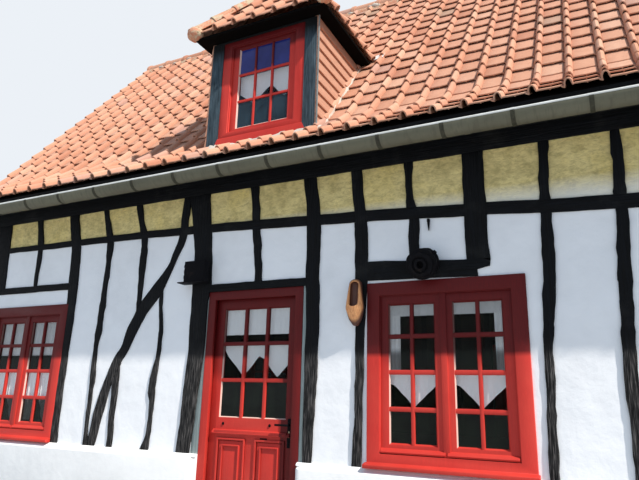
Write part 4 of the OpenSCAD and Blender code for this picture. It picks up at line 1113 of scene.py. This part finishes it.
class HOUSE_OT_door(bpy.types.Operator):
    """Glaze, mould and furnish the front door"""
    bl_idname = "house.door"
    bl_label = "Front door"

    def execute(self, context):
        eased("door_frame", context.scene.house_joinery.easing, "red", "door_boards")
        eased("door_leaf", 0.003, "red", "door_leaf_boards", body="door")
        glass = x0, x1, *_ = -2.22, -1.57, 1.19, 2.10
        y = -2.532
        on_door = {"slot": "red_joinery", "body": "door"}
        bars = crossed_bars(glass, 0.015, 0.016, (y + 0.004, y + 0.034), (y + 0.006, y + 0.033))
        set_piece(bars, "door_glazing_bars", "red", smooth=35, **on_door)
        # The pale putty at the left and foot of the pane is a painted highlight of the sunlit fillets; the others are
        # red
        set_piece(putty(*glass, y + 0.006, y + 0.019, 0.008, ("left", "foot")), "door_putty", "putty", **on_door)
        set_piece(putty(*glass, y + 0.006, y + 0.019, 0.012, ("right", "head")), "door_fillets", "red", **on_door)
        trims = []
        half = (x1 - x0 - 0.09) / 4
        for side in (-1, 1):
            middle = (x0 + x1) / 2 + side * (half + 0.045)
            for reach, width in ((half, 0.018), (half - 0.052, 0.014)):
                high = 0.672 - 2 * (half - reach)
                moulding = primitive("plane", (middle, y - 0.001, 0.694), (2 * reach, high, 1), True, size=1)
                edit(moulding)
                bpy.ops.mesh.inset(thickness=width, depth=0)
                bpy.ops.mesh.delete(type="FACE")
                leave()
                trims.append(softened(thickened(moulding, 0.012, 1), 0.005))
        sill = ((0, 1.058), (0.020, 1.058), (0.024, 1.066), (0.016, 1.082), (0, 1.096))
        trims.append(drawn([(x0 - 0.045, y - out, z) for out, z in sill], (x1 - x0 + 0.09, 0, 0)))
        set_piece(joined(trims), "door_mouldings", "red", smooth=35, **on_door)
        knobs = [primitive("uv_sphere", (x, y - 0.002, 1.14), (1, 0.5, 1), segments=12, ring_count=8, radius=0.012)
            for x in (-2.168, -1.716)]
        knobs.append(block((-1.80, y - 0.004, 1.028), (-1.735, y + 0.006, 1.041), 0.002))
        set_piece(joined(knobs), "door_bolts", "iron", "black_iron", smooth=50, body="door")
        plate = block((-1.541, y - 0.006, 1.055), (-1.527, y + 0.001, 1.105), 0.0025)
        set_piece(plate, "door_escutcheon", "brass", "handle_metal", smooth=50, body="door")
        eased("door_handle", 0.002, "iron", "fitted_handle", "handle_metal", "door")
        eased("door_hinge_pins", 0.002, "red", "fitted_hinge_pins")
        strips = bevelled("door_strips", 0.004, 30)
        set_piece(strips, "grey_door_strips", "strip", "grey_boards", ["door_strips"], 35)
        return {"FINISHED"}


# Dormer


class HOUSE_OT_dormer(bpy.types.Operator):
    """Clad the dormer, with its window, lapped cheeks and mortar fillets"""
    bl_idname = "house.dormer"
    bl_label = "Dormer"

    def execute(self, context):
        posts = bevelled("dormer_posts", 0.006)
        sill = split_off(posts, lambda f: f.calc_center_median().z < 3.746
            and abs(f.calc_center_median().x - DORMER_X) < 0.458)
        set_piece(posts, "dormer_post_boards", "dormer_wood", "dormer_timber", ["dormer_posts"], 35)
        set_piece(sill, "dormer_sill_board", "red", "red_joinery", smooth=35)
        eased("dormer_eaves", 0.006, "pitch", "dormer_eaves_boards", "edge_board")
        casing = surround(DORMER_WINDOW, inner(DORMER_WINDOW, 0.098, 0.052), -2.592, -2.50)
        bead = surround(inner(DORMER_WINDOW, 0.094, 0.048), inner(DORMER_WINDOW, 0.108, 0.062), -2.582, -2.55, 0.004)
        sash = surround(inner(DORMER_WINDOW, 0.09, 0.045), DORMER_GLASS, -2.566, -2.52)
        boards = joined([casing, bead, sash])
        set_piece(boards, "dormer_window_boards", "red", "red_joinery", ["dormer_window"], 35)
        bars = crossed_bars(DORMER_GLASS, 0.011, 0.012, (-2.562, -2.538), (-2.560, -2.539), 0.004)
        set_piece(bars, "dormer_glazing_bars", "bar_red", "red_joinery", smooth=35)
        # The pale putty at the left and foot of the panes is a painted highlight of the sunlit fillets; the others are
        # red
        for name, finish, width, sides in (("dormer_putty", "putty", 0.011, ("left", "foot")),
                ("dormer_fillets", "bar_red", 0.010, ("right", "head"))):
            set_piece(putty(*DORMER_GLASS, -2.563, -2.550, width, sides), name, finish, "red_joinery")
        self.cheeks()
        self.tiles(context.scene.house_tiles)
        self.mortar()
        return {"FINISHED"}

    def cheeks(self):
        """Lapped boards on both cheeks, cut along the roof, with zinc at the corner and in the valleys"""
        section = ((-0.03, 0), (0.022, 0), (0.022, 0.014), (0.004, 0.116), (-0.03, 0.116))
        pieces = []
        for side in (-1, 1):
            face = DORMER_X + side * DORMER_SIDE
            boards = joined([drawn([(face + side * out, -2.598, DORMER_SOFFIT - 0.112 * (k + 1) + up)
                for out, up in section], (0, 1.28, 0)) for k in range(14)])
            edit(boards)
            outwards()
            leave()
            under = (0, -HALF_D + KINK, roof_z(KINK, 0.10))
            sliced(boards, under, (0, math.sin(PITCH), -math.cos(PITCH)))
            sliced(boards, (0, 0, roof_z(0.0, 0.12)), (0, 0, -1))
            sliced(boards, (0, 0, DORMER_SOFFIT), (0, 0, 1))
            pieces.append(boards)
        set_piece(joined(pieces), "lapped_cheeks", "cheek", "cheek_board", ["dormer_cheeks"])
        points = [(0.612, -2.602), (0.612, -2.592), (0.615, -2.592), (0.615, -2.605), (0.604, -2.605), (0.604, -2.602)]
        corner = drawn([(DORMER_X + x, y, 3.60) for x, y in points], (0, 0, DORMER_SOFFIT - 3.602))
        set_piece(softened(corner, 0.0007, segments=1), "dormer_corner_zinc", "corner", "zinc")
        # The valleys show their pale ends at each eave
        valleys = []
        depth = KINK + (DORMER_EAVE - roof_z(KINK)) / math.tan(PITCH)
        for side in (-1, 1):
            foot = Vector((DORMER_X + side * (DORMER_HALF + 0.01), -HALF_D + depth - 0.03, DORMER_EAVE + 0.005))
            along = Vector((-side, 1, math.tan(PITCH))).normalized()
            wing, back = Vector((side * 0.11, 0, 0.012)), Vector((0, 0.08, 0.10))
            sheet = drawn([foot, foot + wing, foot + wing + back, foot + back], along * 0.004)
            valleys.append(modified(sheet, "BEVEL", width=0.001, segments=1))
        set_piece(joined(valleys), "valley_ends", "putty_white", "zinc")

    def tiles(self, s):
        """Tiles on the three slopes of the dormer, cut at the hips and valleys, and tiles over the hips"""
        chance = random.Random(23)
        slope_length = DORMER_HALF / math.cos(PITCH)
        cos, sin = math.cos(PITCH), math.sin(PITCH)
        parts = []
        for side in (0, 1, -1):
            tile, w = pantile(s.length)
            starts = ([0.03 - 0.76 + w * k for k in range(8)], [w * k - 0.03 for k in range(9)],
                [-w * (k + 1) + 0.02 for k in range(9)])[side]
            stand = turned(side * math.pi / 2, DORMER_X + side * DORMER_HALF, DORMER_FRONT, DORMER_EAVE)
            places = []
            for course in range(6):
                foot = course * 0.23
                head = min(foot + s.length, slope_length + 0.02)
                for x in starts:
                    lift = chance.uniform(-1, 1) * s.unevenness
                    low = Vector((0, foot * cos - 0.012 * sin, foot * sin + 0.012 * cos + lift * 0.4))
                    high = Vector((0, head * cos + 0.022 * sin, head * sin - 0.022 * cos))
                    places.append(stand @ tile_place(x + lift, low, high, -1, lift * 0.8))
            part = toned(tile, places, chance)
            if side:
                sliced(part, (DORMER_X + side * DORMER_HALF, DORMER_FRONT, 0), (-side, -1, 0))
                sliced(part, (DORMER_X, 0, 0), (-side, 0, 0))
                sliced(part, (0, -HALF_D + KINK, roof_z(KINK, 0.05)), (0, sin, -cos))
            else:
                for hip in (-1, 1):
                    sliced(part, (DORMER_X + hip * DORMER_HALF, DORMER_FRONT, 0), (hip, 1, 0))
            parts.append(part)
        set_piece(joined(parts), "dormer_tiles", "clay", "roof_tile", ["dormer_roof"], 38)
        # Hip and ridge tiles, each a tapering half round
        cap = drawn_up(ring(0.075, range(-10, 191, 20)), (0.33, 0, 0))
        for v in cap.data.vertices:
            if v.co.x > 0.1:
                v.co.y *= 0.82
                v.co.z *= 0.82
        thickened(cap, 0.014)
        top = Vector((DORMER_X, DORMER_FRONT + DORMER_HALF, DORMER_EAVE + DORMER_HALF * math.tan(PITCH)))
        places, starters = [], []
        for side in (-1, 1):
            foot = Vector((DORMER_X + side * DORMER_HALF, DORMER_FRONT, DORMER_EAVE))
            line = top - foot
            along = line.normalized()
            across = Vector((0, 0, 1)).cross(along).normalized()
            up = along.cross(across)
            turn = Matrix((along, across, up)).transposed().to_4x4()
            for k in range(5):
                start = foot + line * (k / 5) - along * 0.01
                places.append(Matrix.Translation(start + up * (0.004 + chance.uniform(0, 0.006))) @ turn)
            starter = primitive("uv_sphere", foot + along * 0.03, (0.086, 0.086, 0.075), segments=20,
                ring_count=10, radius=1)
            starters.append(worn(starter, 22, 0.006))
        back = 1.78 + 0.15 - DORMER_HALF
        for k in range(4):
            start = top + Vector((0, back * k / 4, 0.01 - 0.002 * k))
            places.append(Matrix.Translation(start) @ Matrix.Rotation(math.pi / 2, 4, "Z"))
        hips = joined([repeated(cap, places), *starters])
        set_piece(hips, "dormer_hip_tiles", "lichen", "roof_tile", smooth=50)

    def mortar(self):
        """Fillets of mortar at the foot of the window and the cheeks"""
        z = roof_z(0)
        section = ((-2.67, z - 0.055), (-2.598, z + 0.045), (-2.595, z - 0.03), (-2.65, z - 0.08))
        strips = [lumpy(drawn([(DORMER_X - 0.60, y, z) for y, z in section], (1.2, 0, 0)), 0.035, 0.026, 19)]
        section = ((0.015, 0.040), (0.042, 0.022), (0.04, -0.02), (0.015, -0.02))
        for side in (-1, 1):
            x = DORMER_X + side * DORMER_SIDE
            start, kink, end = (Vector((x, -HALF_D + s, roof_z(s))) for s in (-0.005, KINK, 1.06))
            for a, b in ((start, kink), (kink, end)):
                strip = drawn([a + Vector((side * out, 0, up)) for out, up in section], b - a)
                strips.append(lumpy(strip, 0.04, 0.026, 21, axis=1))
        set_piece(joined(strips), "mortar_fillets", "mortar", smooth=60)


# Lace


def hung(name, x0, x1, top, bottom, y, folds, depth, node, rests_on="casements", body="house", points=None):
    """One piece of lace: a grid whose lower edge follows points and whose face lies in folds."""
    wide, high = x1 - x0, top - bottom
    obj = upright_plane(x0, x1, bottom, top, y, "grid", x_subdivisions=60, y_subdivisions=10)
    for v in obj.data.vertices:
        u = (v.co.x - x0) / wide
        down = (top - v.co.z) / high
        if points:
            v.co.z = top - high * down * (between(points, u) if u >= 0 else points[-1][1])
        fold = 0.5 + 0.5 * math.sin(u * folds * 2 * math.pi + 1.3 * down)
        v.co.y = y + depth * fold * (0.5 + 0.5 * down) + 0.001
    edit(obj)
    bpy.ops.mesh.normals_make_consistent(inside=False)
    leave()
    set_piece(obj, name, "lace", "lace", smooth=60, body=body)
    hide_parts(node)


class HOUSE_OT_lace(bpy.types.Operator):
    """Hang the lace behind the panes"""
    bl_idname = "house.lace"
    bl_label = "Lace"

    def execute(self, context):
        y = -HALF_D + 0.0703
        head, rail = PLINTH + 1.185, PLINTH + 0.69
        heart = [(0, 0.38), (0.1, 0.42), (0.3, 0.7), (0.5, 1.0), (0.7, 0.72), (0.9, 0.46), (1, 0.4)]
        apart = [(0, 1.0), (0.25, 1.0), (0.5, 0.5), (0.75, 1.0), (1, 1.0)]
        node = "window_curtains"
        for label, centre in zip(("left", "middle", "right"), WINDOW_XS):
            for side in (-1, 1):
                a = centre + side * CASEMENT_X - 0.19
                b = a + 0.38
                tag = f"{label}_{'a' if side < 0 else 'b'}"
                if label == "middle":
                    hung(f"lace_valance_{tag}", a, b, head, PLINTH + 1.085, y, 7, 0.008, node)
                    hung(f"lace_cafe_{tag}", a, b, rail, PLINTH + 0.425, y, 6, 0.010, node, points=heart)
                    outer = a if side < 0 else b - 0.085
                    hung(f"lace_drape_{tag}", outer, outer + 0.085, PLINTH + 1.09, rail, y + 0.012, 3, 0.012, node)
                else:
                    hung(f"lace_valance_{tag}", a, b, head, PLINTH + 0.83, y, 9, 0.012, node)
                    hung(f"lace_cafe_{tag}", a, b, rail, PLINTH + 0.19, y, 8, 0.014, node, points=apart)
        x0, x1, y, on_door = -2.24, -1.55, -2.4897, ("door_curtain", "door_leaf", "door")
        pennants = [(0, 0.12), (0.07, 0.35), (0.31, 0.98), (0.53, 0.36), (0.6, 0.45), (0.79, 1.0), (0.94, 0.62),
            (1, 0.55)]
        hung("lace_door_top", x0, x1, 2.11, 1.875, y, 9, 0.010, *on_door)
        hung("lace_door_pennants", x0, x1, 1.79, 1.52, y, 5, 0.008, *on_door, pennants)
        zigzag = [(0, 0.62), (0.25, 1.0), (0.45, 0.72), (0.6, 0.5), (0.72, 0.78), (0.85, 1.0), (1, 0.66)]
        hung("lace_dormer", DORMER_X - 0.30, DORMER_X + 0.30, 4.42, 4.11, -2.4997, 5, 0.008, "dormer_curtain",
            "dormer_window", points=zigzag)
        return {"FINISHED"}


# Gutters, old things and plain finishes


class HOUSE_OT_fittings(bpy.types.Operator):
    """Finish the hub, clog, letter box and peg, and the gutters' joints"""
    bl_idname = "house.fittings"
    bl_label = "Fittings"

    def execute(self, context):
        self.old_things()
        self.gutters()
        eased("eaves_boards", 0.005, "board", "tarred_eaves_boards", "edge_board")
        eased("verge_boards", 0.005, "board", "tarred_verge_boards", "edge_board")
        for name in ("plinth_front_left", "plinth_front_right"):
            eased(name, 0.018, "plinth", name.replace("plinth", "limed_plinth"), "plinth")
        return {"FINISHED"}

    def old_things(self):
        """The hub droops on its spike, its rough bands worn uneven; the box is made narrower, lower and worn, the peg
        narrower and the clog wider
        """
        hub = bevelled("cart_hub", 0.003)
        foot = Vector((-0.41, -HALF_D, sum(v.co.z for v in hub.data.vertices) / len(hub.data.vertices)))
        droop = Matrix.Rotation(math.radians(20), 4, "X")
        for v in hub.data.vertices:
            away = v.co - foot
            narrow = 0.8 if -away.y < 0.11 else 1.0
            v.co = foot + droop @ Vector((away.x * narrow, away.y, away.z * narrow)) + Vector((0.03, 0, 0.01))
        set_piece(worn(hub, 24, 0.005), "old_cart_hub", "iron", "black_iron", ["cart_hub"], 40)
        box = bevelled("post_box", 0.004)
        right, low = max(v.co.x for v in box.data.vertices), min(v.co.z for v in box.data.vertices)
        for v in box.data.vertices:
            v.co.x = right + 0.86 * (v.co.x - right) + 0.012
            v.co.z = low + 0.88 * (v.co.z - low)
        set_piece(worn(box, 17, 0.004), "old_post_box", "iron", "black_iron", ["post_box"], 40)
        peg = bevelled("iron_peg", 0.002)
        for v in peg.data.vertices:
            v.co.x = -0.357 + 0.6 * (v.co.x + 0.357)
        set_piece(peg, "old_iron_peg", "iron", "black_iron", ["iron_peg"], 40)
        clog = merged_copy("clog")
        middle = sum(v.co.x for v in clog.data.vertices) / len(clog.data.vertices)
        for v in clog.data.vertices:
            v.co.x = middle + 1.25 * (v.co.x - middle)
        set_piece(clog, "worn_clog", "clog", "clog_wood", ["clog"], 55)

    def gutters(self):
        """Soldered joints, a clip at each bracket and the rolled front edges"""
        joint = drawn(ring(0.0765, range(180, 361, 15)), (0.045, 0, 0), closed=False)
        joint = softened(thickened(joint, 0.003, 0), 0.001, segments=1)
        places = [Matrix.Translation((x, side * GUTTER_Y, GUTTER_Z)) for x in (-3.97, -1.98, 0.02, 2.01, 3.99)
            for side in (-1, 1)]
        set_piece(repeated(joint, places), "gutter_joints", "zinc", "zinc", smooth=35)
        # The clips and the rolled edges take the pale lip zinc, a painted highlight
        lip = Vector((0, -0.0665, 0.0075))
        clip = primitive("cylinder", lip, vertices=12, radius=0.0121, depth=0.026)
        clip.data.transform(Matrix.Translation(lip) @ Matrix.Rotation(math.pi / 2, 4, "Y")
            @ Matrix.Translation(-lip))
        places = [turned(0 if side < 0 else math.pi)
            @ Matrix.Translation((side * (0.12 - 0.48 * k), -GUTTER_Y, GUTTER_Z))
            for k in range(-11, 13) for side in (-1, 1)]
        set_piece(repeated(clip, places), "gutter_clips", "lip", "zinc", smooth=35)
        lips = [drawn(ring(0.0115, range(0, 360, 30), -VERGE + 0.001, side * 3.0415, 3.2525), (2 * VERGE - 0.002, 0, 0))
            for side in (-1, 1)]
        set_piece(joined(lips), "gutter_lips", "lip", "zinc", smooth=40)


class HOUSE_OT_plain_finishes(bpy.types.Operator):
    """Give every part that keeps its frame shape its finish"""
    bl_idname = "house.plain_finishes"
    bl_label = "Plain finishes"

    def execute(self, context):
        finishes = {
            "plinth": "plinth_front_left plinth_front_right plinth_rear plinth_gables",
            "stone": "door_step ground_floor",
            "planks": "attic_floor",
            "lime": "rear_infill gable_infill front_infill_left front_infill_over_door front_infill_right",
            "daub": "front_infill_upper",
            "glass": "window_panes",
            "door_glass": "door_pane",
            "sky_glass": "dormer_pane",
            "raw": "rafters_front rafters_rear",
            "zinc": "gutters",
            # The brackets' darker zinc is painted shade of the shadow line beside each
            "strap": "gutter_brackets",
            "clay": "roof_front roof_rear ridge_cap dormer_roof",
            "upright": "front_posts front_studs front_braces rear_frame gable_frames",
            "level": "front_rails front_lintels wall_plates",
            "board": "verge_boards eaves_boards dormer_eaves",
            "red": "window_frames casements door_frame door_leaf door_hinge_pins dormer_window",
            "strip": "door_strips",
            "iron": "door_handle cart_hub post_box iron_peg",
            "dormer_wood": "dormer_posts",
            "cheek": "dormer_cheeks",
            "clog": "clog",
            "lace": "window_curtains door_curtain dormer_curtain",
        }
        for key, nodes in finishes.items():
            for node in nodes.split():
                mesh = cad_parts[node].data
                mesh.materials.clear()
                mesh.materials.append(paint(key))
        return {"FINISHED"}


class HOUSE_OT_stage(bpy.types.Operator):
    """Set the floor, the lights and the camera"""
    bl_idname = "house.stage"
    bl_label = "Stage"

    def execute(self, context):
        scene = context.scene
        s = scene.house_stage
        floor = primitive("plane", (0, 0, -0.002), size=160)
        floor.name = "pale_floor"
        f = Finish("pale_floor", srgb(226, 228, 230), 0.9)
        seen = f.add("ShaderNodeLightPath").outputs["Is Camera Ray"]
        f.colour(f.mix(seen, srgb(176, 177, 176), srgb(226, 228, 230)))
        f.bump(f.noise(3, 3), 0.001)
        floor.data.materials.append(f.material)
        scene.world = self.sky(s.sky)

        sun = bpy.data.lights.new("key_light", "SUN")
        sun.energy = s.key
        sun.angle = math.radians(1)
        sun.color = srgb(255, 249, 240)
        lamp = bpy.data.objects.new("key_light", sun)
        lamp.rotation_mode = "QUATERNION"
        lamp.rotation_quaternion = Vector((0.62, -0.226, 0.75)).to_track_quat("Z", "Y")
        scene.collection.objects.link(lamp)

        yaw, pitch, roll = math.radians(-26.82), math.radians(15.31), math.radians(1.53)
        ahead = Vector((math.sin(yaw) * math.cos(pitch), math.cos(yaw) * math.cos(pitch), math.sin(pitch)))
        level = Vector((math.cos(yaw), -math.sin(yaw), 0))
        above = level.cross(ahead)
        right = math.cos(roll) * level + math.sin(roll) * above
        up = -math.sin(roll) * level + math.cos(roll) * above
        camera = bpy.data.cameras.new("photo_camera")
        camera.sensor_width = 36
        camera.lens = s.lens
        camera.clip_end = 400
        holder = bpy.data.objects.new("photo_camera", camera)
        turn = Matrix((right, up, -ahead)).transposed().to_4x4()
        holder.matrix_world = Matrix.Translation((0.82, -6.75, 1.35)) @ turn
        scene.collection.objects.link(holder)
        scene.camera = holder
        scene.view_settings.view_transform = "Standard"
        return {"FINISHED"}

    def sky(self, strength):
        """A pale sky where it is seen or mirrored, and a bluer light on the house"""
        world = bpy.data.worlds.new("plain_sky")
        world.use_nodes = True
        tree = world.node_tree
        tree.nodes.clear()
        rays = add_node(tree, "ShaderNodeLightPath").outputs
        seen = rays["Is Camera Ray"]
        for ray in ("Is Transmission Ray", "Is Glossy Ray"):
            seen = add_node(tree, "ShaderNodeMath", {0: seen, 1: rays[ray]}, operation="MAXIMUM").outputs[0]
        light, pale = (
            add_node(tree, "ShaderNodeBackground", {"Color": (*srgb(*shade), 1), "Strength": share}).outputs[0]
            for shade, share in (((196, 223, 255), strength), ((236, 241, 247), 1.0)))
        mix = add_node(tree, "ShaderNodeMixShader", {0: seen, 1: light, 2: pale}).outputs[0]
        add_node(tree, "ShaderNodeOutputWorld", {"Surface": mix})
        return world


STEPS = (HOUSE_OT_plain_finishes, HOUSE_OT_pantiles, HOUSE_OT_ridge, HOUSE_OT_timbers, HOUSE_OT_panels,
    HOUSE_OT_windows, HOUSE_OT_door, HOUSE_OT_dormer, HOUSE_OT_lace, HOUSE_OT_fittings, HOUSE_OT_stage)
SETTINGS = {"house_finish": FinishSettings, "house_tiles": TileSettings, "house_timbers": TimberSettings,
    "house_walls": WallSettings, "house_joinery": JoinerySettings, "house_stage": StageSettings}


class HOUSE_PT_panel(bpy.types.Panel):
    """Lists the steps that dress the house, with their sizes"""
    bl_idname = "HOUSE_PT_panel"
    bl_label = "Half Timbered House"
    bl_space_type = "VIEW_3D"
    bl_region_type = "UI"
    bl_category = "House"

    def draw(self, context):
        for name, group in SETTINGS.items():
            box = self.layout.box()
            for key in group.__annotations__:
                box.prop(getattr(context.scene, name), key)
        for step in STEPS:
            self.layout.operator(step.bl_idname)


def register():
    # Without a seed of its own the vector noise takes its offset from the clock
    noise.seed_set(1)
    for group in (*SETTINGS.values(), *STEPS, HOUSE_PT_panel):
        bpy.utils.register_class(group)
    for name, group in SETTINGS.items():
        setattr(bpy.types.Scene, name, PointerProperty(type=group))


def unregister():
    for name in SETTINGS:
        delattr(bpy.types.Scene, name)
    for group in reversed((*SETTINGS.values(), *STEPS, HOUSE_PT_panel)):
        bpy.utils.unregister_class(group)


def main():
    register()
    for step in STEPS:
        area, name = step.bl_idname.split(".")
        getattr(getattr(bpy.ops, area), name)()


if __name__ == "__main__":
    main()
